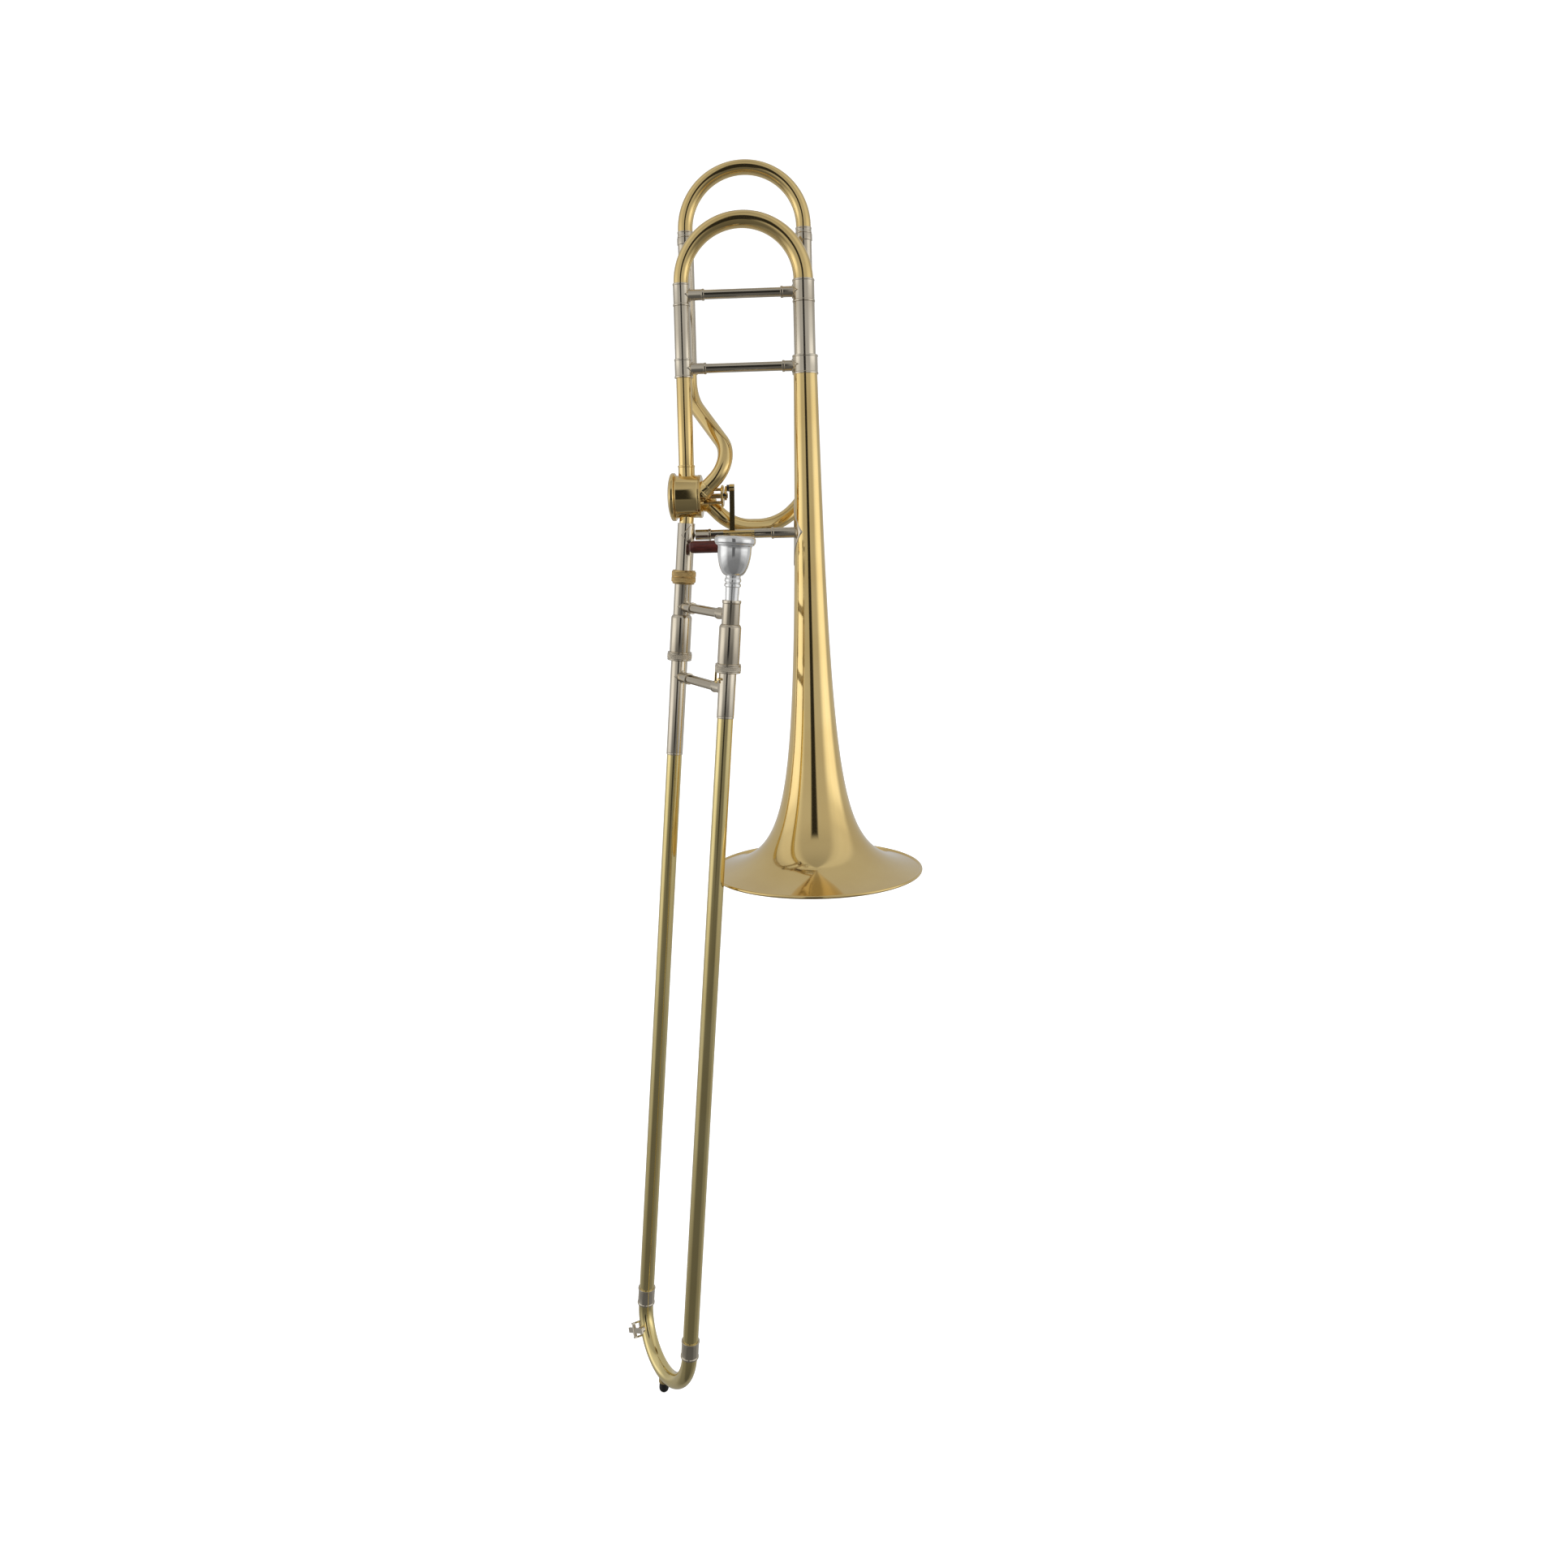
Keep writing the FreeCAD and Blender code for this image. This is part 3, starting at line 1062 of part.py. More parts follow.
keep(rod(2.8, cork_length, key_at(NIPPLE_ACROSS, 0, outer_tube_outer / 2 + 2.25), "cork"),
     "water_key_cork")
keep(rod(0.9, 15.2, key_at(PIVOT_ACROSS, 7.6, key_height, pin_turn), "pin"), "water_key_pin")

# ---------------------------------------------------------------- mouthpiece

cup_r, rim_r, bowl_r = s.cup_bore / 2, s.mouth_rim_outer / 2, s.cup_outer / 2
full = s.mouth_length
turned("mouthpiece",
       [(s.shank_tip / 2 - 0.9, 0), (s.shank_tip / 2, 0), (s.shank_outer / 2, s.shank_reach),
        (s.shank_outer / 2 + 0.5, full - 48.5), (s.shank_outer / 2 + 1.7, full - 47.5),
        (s.shank_outer / 2 + 1.7, full - 45.5), (s.shank_outer / 2 + 0.7, full - 44.5),
        (s.shank_outer / 2 + 1.7, full - 43.0), (s.shank_outer / 2 + 1.7, full - 41.0),
        (s.shank_outer / 2 + 0.8, full - 39.0), (s.shank_outer / 2 + 1.2, full - 36.5),
        (bowl_r * 0.72, full - 32.0), (bowl_r * 0.89, full - 27.0), (bowl_r * 0.98, full - 20.0),
        (bowl_r, full - 12.0), (rim_r - 1.2, full - 10.5), (rim_r, full - 9.0), (rim_r, full - 3.6),
        (rim_r - 1.4, full - 1.2), (rim_r - 3.6, full), (cup_r + 1.2, full), (cup_r, full - 1.6),
        (cup_r * 0.95, full - 9.0), (cup_r * 0.8, full - 17.0), (cup_r * 0.5, full - 24.0),
        (s.throat_bore / 2, full - 28.0), (s.throat_bore / 2, full - 34.0)],
       on_slide(s.slide_spacing, 0, shank_end))

# ---------------------------------------------------------------- checks and files

document.recompute()
for item in document.Objects:
    if "Invalid" in item.State or "Error" in item.State:
        raise RuntimeError("%s (%s) did not build: %s" % (item.Name, item.Label, item.State))

unsound = [piece.Label for piece in pieces
           if piece.Shape.isNull() or not piece.Shape.isValid() or not piece.Shape.Solids]
if unsound:
    raise RuntimeError("no valid solid: " + ", ".join(unsound))

os.makedirs("parts", exist_ok=True)
for piece in pieces:
    piece.Shape.exportStep(os.path.join("parts", piece.Label + ".step"))
print(len(pieces), "sub-parts written")
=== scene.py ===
# %% [markdown]
# # A tenor trombone, dressed for its portrait
# The engineering model of this instrument already exists: every tube, ferrule, brace and joint sits at its
# real place and real size. This notebook loads it as a fixed frame and then gives it its looks.
# Lengths are metres, so a millimetre is written as `0.001` or through the `MM` value.

# %% Load the frame
import json
import math

import bmesh
import bpy
import numpy as np
from mathutils import Euler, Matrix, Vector


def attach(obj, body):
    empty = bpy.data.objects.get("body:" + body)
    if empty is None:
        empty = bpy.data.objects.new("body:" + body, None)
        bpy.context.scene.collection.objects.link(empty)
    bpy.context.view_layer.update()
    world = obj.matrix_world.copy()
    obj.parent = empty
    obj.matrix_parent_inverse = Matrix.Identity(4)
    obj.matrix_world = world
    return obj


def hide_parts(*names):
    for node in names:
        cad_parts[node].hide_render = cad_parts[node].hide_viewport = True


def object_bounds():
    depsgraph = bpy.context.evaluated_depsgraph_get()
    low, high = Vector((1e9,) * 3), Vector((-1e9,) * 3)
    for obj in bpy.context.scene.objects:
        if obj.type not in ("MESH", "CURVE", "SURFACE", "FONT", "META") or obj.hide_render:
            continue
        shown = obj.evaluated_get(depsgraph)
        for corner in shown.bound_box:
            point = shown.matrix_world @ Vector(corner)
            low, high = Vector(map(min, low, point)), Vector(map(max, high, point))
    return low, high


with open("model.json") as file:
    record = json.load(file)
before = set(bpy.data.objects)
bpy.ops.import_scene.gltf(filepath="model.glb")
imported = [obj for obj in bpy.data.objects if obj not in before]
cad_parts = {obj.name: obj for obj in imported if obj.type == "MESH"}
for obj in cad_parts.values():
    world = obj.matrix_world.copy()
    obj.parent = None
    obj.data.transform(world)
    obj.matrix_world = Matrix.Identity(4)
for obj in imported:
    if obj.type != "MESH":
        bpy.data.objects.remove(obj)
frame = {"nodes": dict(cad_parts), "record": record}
cad_low, cad_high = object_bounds()
MM = 0.001
print("pieces in the frame:", len(frame["nodes"]))

# %% [markdown]
# ## The camera
# A long, thin instrument is seen here from about a metre and a quarter away, with a fairly wide lens
# whose axis is a little above the middle of the frame. A small vertical shift does that without tilting
# the camera, so the tubes keep their gentle perspective. The camera is made first, because everything
# else is judged through it.

# %% Camera
CAMERA_PLACE = Vector((0.157, -1.219, -0.057))
CAMERA_TURN = (85.92, 1.39, 2.86)      # degrees about X, Y and Z
CAMERA_LENS = 27.72                    # millimetres, on a 36 mm sensor
CAMERA_SHIFT = -0.0895                 # share of the frame's width

camera_data = bpy.data.cameras.new("portrait_camera")
camera_data.sensor_width = 36.0
camera_data.lens = CAMERA_LENS
camera_data.shift_y = CAMERA_SHIFT
camera = bpy.data.objects.new("portrait_camera", camera_data)
camera.location = CAMERA_PLACE
camera.rotation_euler = Euler([math.radians(angle) for angle in CAMERA_TURN], "XYZ")
bpy.context.scene.collection.objects.link(camera)
bpy.context.scene.camera = camera

# %% [markdown]
# ## Colours and nodes
# Colours are written as sRGB hex values, the way a paint chip or a colour picker gives them. The renderer
# works with linear light, so one function turns them over. A second small function adds a shader node with
# its settings and its links in one call, which keeps each material short enough to read at a glance.

# %% Helpers for colours and nodes
def linear(hex_colour):
    """sRGB hex to linear RGBA: below 0.04045 divide by 12.92, above it take ((c + 0.055) / 1.055) ** 2.4."""
    parts = np.array([int(hex_colour[i:i + 2], 16) for i in (1, 3, 5)]) / 255
    light = np.where(parts <= 0.04045, parts / 12.92, ((parts + 0.055) / 1.055) ** 2.4)
    return (*light.tolist(), 1.0)


def add(material, kind, settings=None, **links):
    """Add a node. Settings go to its sockets or properties by name; links name a socket and its source."""
    node = material.node_tree.nodes.new("ShaderNode" + kind)
    for name, value in (settings or {}).items():
        if name in node.inputs:
            node.inputs[name].default_value = value
        else:
            setattr(node, name, value)
    for name, source in links.items():
        socket = name.replace("_", " ")
        material.node_tree.links.new(source, node.inputs[socket])
    return node


def blank(name):
    """A new material with only its output node."""
    material = bpy.data.materials.new(name)
    material.use_nodes = True
    material.node_tree.nodes.clear()
    return material


def finish_surface(material, shader):
    """Join a shader to the material's output."""
    output = add(material, "OutputMaterial")
    material.node_tree.links.new(shader.outputs[0], output.inputs["Surface"])
    return material


def place_on(material):
    """Object coordinates, in metres, which stay with the piece."""
    return add(material, "TexCoord").outputs["Object"]


# %% [markdown]
# ## Polished and lacquered metals
# Yellow brass is about 70 % copper and 30 % zinc. The tubes are drawn, the bell is hammered and spun, and
# both are buffed and sprayed with clear lacquer. What the eye gets is a strong, slightly warm mirror with a
# thin second gloss over it, faint waves where the metal was worked by hand, and hairline buffing marks.
# Nickel silver holds no silver at all: it is copper, nickel and zinc, a greyer and slightly yellow metal used
# for ferrules, braces and sleeves because it wears well. One recipe serves both, with different colours.

# %% Polished metal
def polished_metal(name, colour, shade, gloss, haze, wave_mm=40.0, wave_height_mm=0.02, coat=0.0, metal=1.0):
    """A metal mirror: colour drifts to shade in soft clouds, roughness between gloss and haze by fine wear."""
    material = blank(name)
    where = place_on(material)
    clouds = add(material, "TexNoise", {"Scale": 1 / (60 * MM), "Detail": 3.0, "Roughness": 0.5}, Vector=where)
    cloud_ramp = add(material, "ValToRGB", Fac=clouds.outputs["Fac"])
    cloud_ramp.color_ramp.elements[0].position = 0.35
    cloud_ramp.color_ramp.elements[0].color = linear(shade)
    cloud_ramp.color_ramp.elements[1].position = 0.65
    cloud_ramp.color_ramp.elements[1].color = linear(colour)
    buffing = add(material, "TexNoise", {"Scale": 1 / (1.5 * MM), "Detail": 4.0, "Roughness": 0.7}, Vector=where)
    wear = add(material, "MapRange", {"From Min": 0.3, "From Max": 0.7, "To Min": gloss, "To Max": haze},
               Value=buffing.outputs["Fac"])
    waves = add(material, "TexNoise", {"Scale": 1 / (wave_mm * MM), "Detail": 1.0}, Vector=where)
    bump = add(material, "Bump", {"Strength": 1.0, "Distance": wave_height_mm * MM}, Height=waves.outputs["Fac"])
    shader = add(material, "BsdfPrincipled",
                 {"Metallic": metal, "Coat Weight": coat, "Coat Roughness": 0.04, "Coat IOR": 1.5},
                 Base_Color=cloud_ramp.outputs["Color"], Roughness=wear.outputs["Result"],
                 Normal=bump.outputs["Normal"])
    return finish_surface(material, shader)


lacquered_brass = polished_metal("lacquered yellow brass", "#efd391", "#e8ca86", 0.07, 0.11, coat=0.5)
slide_brass = polished_metal("lacquered slide brass", "#e9d799", "#e2cd8c", 0.08, 0.13, coat=0.3)
nickel_silver = polished_metal("polished nickel silver", "#d8cfbd", "#cfc4b0", 0.08, 0.13, wave_mm=20.0)
silver_plate = polished_metal("silver plate", "#f6f6f5", "#ededec", 0.04, 0.08, wave_mm=25.0, metal=0.8)
chrome_plate = polished_metal("chrome plate", "#d5d7d8", "#cfd1d2", 0.04, 0.08)
dark_steel = polished_metal("dark tempered steel", "#6e6b6e", "#565358", 0.16, 0.26)
machined_brass = polished_metal("machined brass", "#e2c48c", "#d6b67c", 0.16, 0.26)

# %% [markdown]
# ## Everything that is not metal
# The thumb bar is turned rosewood, oiled dark. The tip under the slide is black rubber, and the small
# cushions in the barrels and under the water key are cork.

# %% Wood, rubber and cork
def turned_rosewood():
    """Dark red-brown wood with grain running along the bar, 0.4 mm pores and an oiled sheen."""
    material = blank("oiled rosewood")
    where = place_on(material)
    stretch = add(material, "Mapping", {"Scale": (0.12, 1.0, 1.0)}, Vector=where)
    grain = add(material, "TexNoise", {"Scale": 1 / (1.6 * MM), "Detail": 5.0, "Roughness": 0.65},
                Vector=stretch.outputs["Vector"])
    tone = add(material, "ValToRGB", Fac=grain.outputs["Fac"])
    tone.color_ramp.elements[0].position = 0.32
    tone.color_ramp.elements[0].color = linear("#35120d")
    tone.color_ramp.elements[1].position = 0.68
    tone.color_ramp.elements[1].color = linear("#6a2a20")
    bump = add(material, "Bump", {"Strength": 0.5, "Distance": 0.05 * MM}, Height=grain.outputs["Fac"])
    shader = add(material, "BsdfPrincipled", {"Roughness": 0.38, "Coat Weight": 0.2, "Coat Roughness": 0.2},
                 Base_Color=tone.outputs["Color"], Normal=bump.outputs["Normal"])
    return finish_surface(material, shader)


def grainy(name, dark, light, grain_mm, rough):
    """A matt material with a mottled grain of a real size, for rubber and cork."""
    material = blank(name)
    where = place_on(material)
    grain = add(material, "TexNoise", {"Scale": 1 / (grain_mm * MM), "Detail": 3.0}, Vector=where)
    tone = add(material, "ValToRGB", Fac=grain.outputs["Fac"])
    tone.color_ramp.elements[0].position = 0.4
    tone.color_ramp.elements[0].color = linear(dark)
    tone.color_ramp.elements[1].position = 0.6
    tone.color_ramp.elements[1].color = linear(light)
    bump = add(material, "Bump", {"Strength": 0.6, "Distance": grain_mm * 0.08 * MM}, Height=grain.outputs["Fac"])
    shader = add(material, "BsdfPrincipled", {"Roughness": rough},
                 Base_Color=tone.outputs["Color"], Normal=bump.outputs["Normal"])
    return finish_surface(material, shader)


rosewood = turned_rosewood()
rubber = grainy("black rubber", "#0d0d0d", "#191918", 0.6, 0.55)
cork = grainy("pressed cork", "#8a6a48", "#b8946a", 0.9, 0.85)

# %% [markdown]
# ## Which piece gets which finish
# The record of the part names a material slot for every piece, so the finishes are handed out by slot.

# %% Hand out the finishes
FINISHES = {"lacquered_brass": lacquered_brass, "nickel_silver": nickel_silver, "silver_plate": silver_plate,
            "chrome_plate": chrome_plate, "dark_steel": dark_steel, "machined_brass": machined_brass,
            "knurled_brass": machined_brass, "rubber": rubber, "thumb_wood": rosewood, "cork": cork}
slot_of = {entry["node"]: entry["material_slot"] for entry in frame["record"]["subparts"]}
for node_name, cad_piece in frame["nodes"].items():
    cad_piece.data.materials.clear()
    cad_piece.data.materials.append(FINISHES[slot_of[node_name]])

# %% [markdown]
# ## How the new pieces are made
# The frame's own meshes are cut into flat facets, which a mirror shows at once. A brass instrument is
# nearly all surfaces of revolution and bent tubes, so two formulas make most of it. A turned piece is a
# profile spun about an axis. A bent tube is a circle carried along a path, square to it at every point.
# Both are worked out as whole arrays and then written to a mesh, with the corners of every profile rounded
# a little, because a real edge is never perfectly sharp and its small highlight is what makes it look real.

# %% Frames, in millimetres
def shift(x=0.0, y=0.0, z=0.0):
    """A frame moved without turning, as a 4 by 4 matrix."""
    frame_matrix = np.eye(4)
    frame_matrix[:3, 3] = x, y, z
    return frame_matrix


def aim(along, sideways=(0.0, 1.0, 0.0)):
    """A frame whose Z points along a direction: X is sideways made square to it, Y completes the set."""
    z_axis = np.array(along, float) / np.linalg.norm(along)
    x_axis = np.array(sideways, float) - z_axis * (z_axis @ np.array(sideways, float))
    x_axis /= np.linalg.norm(x_axis)
    frame_matrix = np.eye(4)
    frame_matrix[:3, :3] = np.stack([x_axis, np.cross(z_axis, x_axis), z_axis], axis=1)
    return frame_matrix


joints = {joint["name"]: joint for joint in frame["record"]["behaviour"]["joints"]}
slide_down = np.array(joints["hand_slide"]["axis"])
lock_place = np.array(joints["slide_lock_turn"]["pos_m"]) / MM
slide_across = lock_place - slide_down * (lock_place @ slide_down)
SLIDE_SPACING = float(np.linalg.norm(slide_across))
SLIDE = aim(-slide_down, slide_across)
ALONG_X = aim((1, 0, 0))
ALONG_Y = aim((0, 1, 0), (1, 0, 0))
BELL_X = 121.9
LOOP_Y = 46.8
VALVE_Z = 6.4
print("slide spacing", round(SLIDE_SPACING, 2), "mm")


def on_slide(x=0.0, depth=0.0, y=0.0):
    """A place on the hand slide: x from tube to tube, depth down from the origin."""
    return SLIDE @ shift(x, y, -depth)


# %% Profiles and surfaces
def rounded(profile, radius=0.4, steps=4):
    """Each corner P becomes (1-t)^2 A + 2t(1-t) P + t^2 B, with A and B a radius back along its two sides."""
    points = np.asarray(profile, float)
    back, ahead = np.roll(points, 1, axis=0) - points, np.roll(points, -1, axis=0) - points
    back_length = np.maximum(np.linalg.norm(back, axis=1, keepdims=True), 1e-9)
    ahead_length = np.maximum(np.linalg.norm(ahead, axis=1, keepdims=True), 1e-9)
    reach = np.minimum(radius, 0.45 * np.minimum(back_length, ahead_length))
    reach[points[:, 0] < 1e-6] = 0.0
    start, end = points + back / back_length * reach, points + ahead / ahead_length * reach
    t = np.linspace(0, 1, steps)[None, :, None]
    arcs = (1 - t) ** 2 * start[:, None] + 2 * t * (1 - t) * points[:, None] + t ** 2 * end[:, None]
    return arcs.reshape(-1, 2)


def spun(profile, place, around=72, ripple=None):
    """Revolution: the point (r, h) at angle a goes to (r cos a, r sin a, h); a ripple adds to r."""
    profile = np.asarray(profile, float)
    angle = np.linspace(0, 2 * math.pi, around, endpoint=False)[None, :]
    radius, level = profile[:, :1], profile[:, 1:]
    if ripple is not None:
        radius = radius + ripple(radius, level, angle)
    grid = np.stack([radius * np.cos(angle), radius * np.sin(angle), level + 0 * angle], axis=-1)
    return grid @ place[:3, :3].T + place[:3, 3], True


def carried(path, radius, wall=None, place=np.eye(4), reference=(0.0, 1.0, 0.0), around=56):
    """A tube: circles of the given radius in the plane square to the path, out along it and back inside."""
    path = np.asarray(path, float)
    ahead = np.gradient(path, axis=0)
    ahead /= np.linalg.norm(ahead, axis=1, keepdims=True)
    side = np.cross(ahead, np.array(reference, float))
    side /= np.linalg.norm(side, axis=1, keepdims=True)
    other = np.cross(ahead, side)
    radius = np.broadcast_to(np.asarray(radius, float), len(path))
    angle = np.linspace(0, 2 * math.pi, around, endpoint=False)[None, :, None]
    ring = side[:, None] * np.cos(angle) + other[:, None] * np.sin(angle)
    outside = path[:, None] + ring * radius[:, None, None]
    bore = np.maximum(radius - wall, 0.0) if wall else radius * 0.0
    inside = (path[:, None] + ring * bore[:, None, None])
    inside = inside[::-1] if wall else inside[[-1, 0]]
    grid = np.concatenate([outside, inside])
    return grid @ place[:3, :3].T + place[:3, 3], True


def box_section(path, wide, thick, place=np.eye(4), reference=(1.0, 0.0, 0.0), around=40, ease=5.0):
    """A flat bar: the superellipse |u/w|^n + |v/t|^n = 1 carried along a path and drawn in at both ends."""
    path = np.asarray(path, float)
    ahead = np.gradient(path, axis=0)
    ahead /= np.linalg.norm(ahead, axis=1, keepdims=True)
    side = np.broadcast_to(np.array(reference, float), path.shape)
    side = side - ahead * (side * ahead).sum(axis=1, keepdims=True)
    side /= np.linalg.norm(side, axis=1, keepdims=True)
    other = np.cross(ahead, side)
    angle = np.linspace(0, 2 * math.pi, around, endpoint=False)
    u = np.sign(np.cos(angle)) * np.abs(np.cos(angle)) ** (2 / ease) * wide / 2
    v = np.sign(np.sin(angle)) * np.abs(np.sin(angle)) ** (2 / ease) * thick / 2
    section = side[:, None] * u[None, :, None] + other[:, None] * v[None, :, None]
    run = np.linspace(-1, 1, len(path))[:, None, None]
    grid = path[:, None] + section * (1 - np.abs(run) ** 24) ** 0.5
    return grid @ place[:3, :3].T + place[:3, 3], False


# %% Writing a piece
body_of = {node: body for body, nodes in frame["record"]["behaviour"]["bodies"].items() for node in nodes}


def piece(name, surfaces, finish, node=None, body=None, sharp=32.0):
    """Join grids of points into one mesh, hide the frame's node it stands for, and hand it that node's body.

    Every grid closes round its columns. One marked True closes round its rows as well.
    """
    corners, faces, used = [], [], 0
    for grid, wraps in surfaces:
        rows, columns = grid.shape[:2]
        index = np.arange(rows * columns).reshape(rows, columns) + used
        here = index if wraps else index[:-1]
        above = np.roll(index, -1, axis=0) if wraps else index[1:]
        faces.append(np.stack([here, np.roll(here, -1, axis=1), np.roll(above, -1, axis=1), above], axis=-1))
        corners.append(grid.reshape(-1, 3))
        used += rows * columns
    points = np.concatenate(corners) * MM
    quads = np.concatenate([block.reshape(-1, 4) for block in faces])
    mesh = bpy.data.meshes.new(name)
    mesh.vertices.add(len(points))
    mesh.vertices.foreach_set("co", points.ravel())
    mesh.loops.add(quads.size)
    mesh.loops.foreach_set("vertex_index", quads.ravel().astype(np.int32))
    mesh.polygons.add(len(quads))
    mesh.polygons.foreach_set("loop_start", np.arange(0, quads.size, 4, dtype=np.int32))
    mesh.update(calc_edges=True)
    mesh.validate()
    work = bmesh.new()
    work.from_mesh(mesh)
    bmesh.ops.remove_doubles(work, verts=work.verts, dist=0.002 * MM)
    bmesh.ops.dissolve_degenerate(work, edges=work.edges, dist=0.001 * MM)
    bmesh.ops.recalc_face_normals(work, faces=work.faces)
    work.to_mesh(mesh)
    work.free()
    mesh.shade_smooth()
    mesh.set_sharp_from_angle(angle=math.radians(sharp))
    mesh.materials.append(finish)
    made = bpy.data.objects.new(name, mesh)
    bpy.context.scene.collection.objects.link(made)
    if node:
        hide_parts(*([node] if isinstance(node, str) else node))
        body = body_of[node if isinstance(node, str) else node[0]]
    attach(made, body)
    return made


def tube(outer, bore, length):
    """Profile of a plain tube from height 0."""
    return [(bore / 2, 0), (outer / 2, 0), (outer / 2, length), (bore / 2, length)]


def beaded(outer, low_bore, high_bore, length, bead=0.5, bead_height=1.7):
    """Profile of a ferrule: a short sleeve with a bead at each end and a step in its bore."""
    r = outer / 2
    return [(low_bore / 2, 0), (r + bead, 0), (r + bead, bead_height), (r, bead_height + 0.3),
            (r, length - bead_height - 0.3), (r + bead * 0.7, length - bead_height), (r + bead * 0.7, length),
            (high_bore / 2, length), (high_bore / 2, length / 2), (low_bore / 2, length / 2)]


# %% [markdown]
# ## The bell
# A trombone bell starts as a flat sheet, rolled into a cone, brazed along one seam and spun over a steel
# form. Its outline follows a power law: the radius falls as the distance from the rim grows, quickly at
# first and then very slowly. The rows are packed towards the rim, where the curve turns fastest. The rim
# itself is rolled round a wire, which makes the bright bead that finishes the edge.

# %% Bell and rim
RIM_RADIUS, RIM_LEVEL, BELL_HEIGHT, BELL_SHEET = 105.5, -375.2, 509.0, 0.9


def flare(above):
    """Outer radius at a height above the rim: 105.5 (12 / (h + 12)) ^ 0.58."""
    return RIM_RADIUS * (12.0 / (above + 12.0)) ** 0.58


bell_place = shift(BELL_X, 0, RIM_LEVEL)
levels = BELL_HEIGHT * np.linspace(0, 1, 150) ** 2.4
bell_outside = np.stack([flare(levels), levels], axis=1)
bell_inside = np.stack([flare(levels) - BELL_SHEET, levels], axis=1)[::-1]
piece("bell_flare", [spun(np.concatenate([bell_outside, bell_inside]), bell_place, 200)], lacquered_brass, "bell")
round_wire = np.linspace(0, 2 * math.pi, 20, endpoint=False)
bead = np.stack([RIM_RADIUS + 0.8 + 1.7 * np.cos(round_wire), 1.7 * np.sin(round_wire) - 0.6], axis=1)
piece("bell_rolled_rim", [spun(bead, bell_place, 200)], lacquered_brass, "bell_rim")

# %% [markdown]
# ## Straight tubes and ferrules of the bell section
# Drawn tubes come in fixed sizes and are joined by ferrules, short sleeves soldered over the joint. Each
# ferrule has a raised bead at its ends, turned on a lathe, which hides the solder line. The sliding joints
# are nickel silver, because brass running on brass would wear and stick.

# %% Ferrules, outer tubes and neck
piece("neck_ferrule_turned", [spun(rounded(beaded(17.5, 15.4, 16.3, 18.8), 0.3), shift(0, 0, 124.4))],
      nickel_silver, "neck_ferrule")
piece("bell_ferrule_turned", [spun(rounded(beaded(25.1, 23.9, 21.5, 18.8), 0.3), shift(BELL_X, 0, 124.4))],
      nickel_silver, "bell_ferrule")
piece("outer_tube_neck_side", [spun(rounded(tube(16.3, 15.3, 61.0), 0.2), shift(0, 0, 133.8))],
      nickel_silver, "tuning_outer_tube_neck")
piece("outer_tube_bell_side", [spun(rounded(tube(21.5, 20.5, 61.0), 0.2), shift(BELL_X, 0, 133.8))],
      nickel_silver, "tuning_outer_tube_bell")
piece("neck_drawn_tube", [spun(rounded(tube(15.4, 14.4, 100.15), 0.2), shift(0, 0, 33.65))],
      lacquered_brass, "neck_pipe")
piece("neck_ring_turned", [spun(rounded(beaded(16.6, 14.4, 15.4, 14.7), 0.3), shift(0, 0, 23.0))],
      lacquered_brass, "neck_ring")
knuckle = [(7.25, 0), (7.25, 17.0), (6.95, 17.0), (6.95, 0)]
piece("knuckle_drawn", [spun(rounded(knuckle, 0.2), on_slide(0, 27.1))], lacquered_brass, "receiver_knuckle")

# %% [markdown]
# ## The valve
# The rotary valve is a short drum on its side. Its casing and screwed cap are turned from thick brass and
# only lightly lacquered, so they look deeper in colour than the thin tubes; here they take the same lacquered
# brass as the tubes. The edges get a bevel of about half a millimetre. The cap's rim of fine straight teeth
# for the fingers is left smooth here.

# %% Casing, cap, back plate and stop plate
valve_axis = shift(0, 0, VALVE_Z) @ ALONG_X
casing = [(18.5, -11.3), (21.2, -11.3), (21.7, -10.8), (21.7, -9.9), (21.45, -9.6), (21.45, 11.6), (21.7, 11.9),
          (21.7, 13.4), (18.5, 13.4)]
piece("valve_casing_turned", [spun(rounded(casing, 0.3), valve_axis, 96)], lacquered_brass, "valve_casing")
cap = [(0, -17.9), (16.8, -17.9), (17.6, -17.5), (18.6, -17.5), (23.2, -15.9), (24.2, -14.8), (24.2, -12.0),
       (23.4, -11.3), (0, -11.3)]
piece("valve_cap_turned", [spun(rounded(cap, 0.5), valve_axis, 96)], lacquered_brass, "valve_cap")
plate = [(2.6, 13.4), (21.3, 13.4), (21.7, 13.8), (21.7, 14.6), (21.2, 15.0), (2.6, 15.0)]
piece("valve_back_plate_turned", [spun(rounded(plate, 0.2), valve_axis, 96)], lacquered_brass, "valve_back_plate")
disc = [(2.6, 34.6), (10.5, 34.6), (11.0, 35.0), (11.0, 36.6), (10.4, 37.0), (2.6, 37.0)]
pillar = [(0, 15.0), (2.6, 15.0), (1.7, 16.4), (1.6, 33.4), (2.4, 34.7), (0, 34.7)]
piece("stop_plate_turned", [spun(rounded(disc, 0.2), valve_axis, 64)]
      + [spun(rounded(pillar, 0.3), shift(0, 0, VALVE_Z + z) @ ALONG_X, 24) for z in (-6.5, 6.5)],
      lacquered_brass, "stop_plate")

# %% [markdown]
# ## The valve loop
# Behind the bell section runs the loop that lowers the instrument's pitch when the valve turns. Its two
# bent tubes leave the valve at 45 degrees and swing round to run straight up behind the neck and the bell.
# Each path is straight runs joined by true arcs, as a bending mandrel makes them.

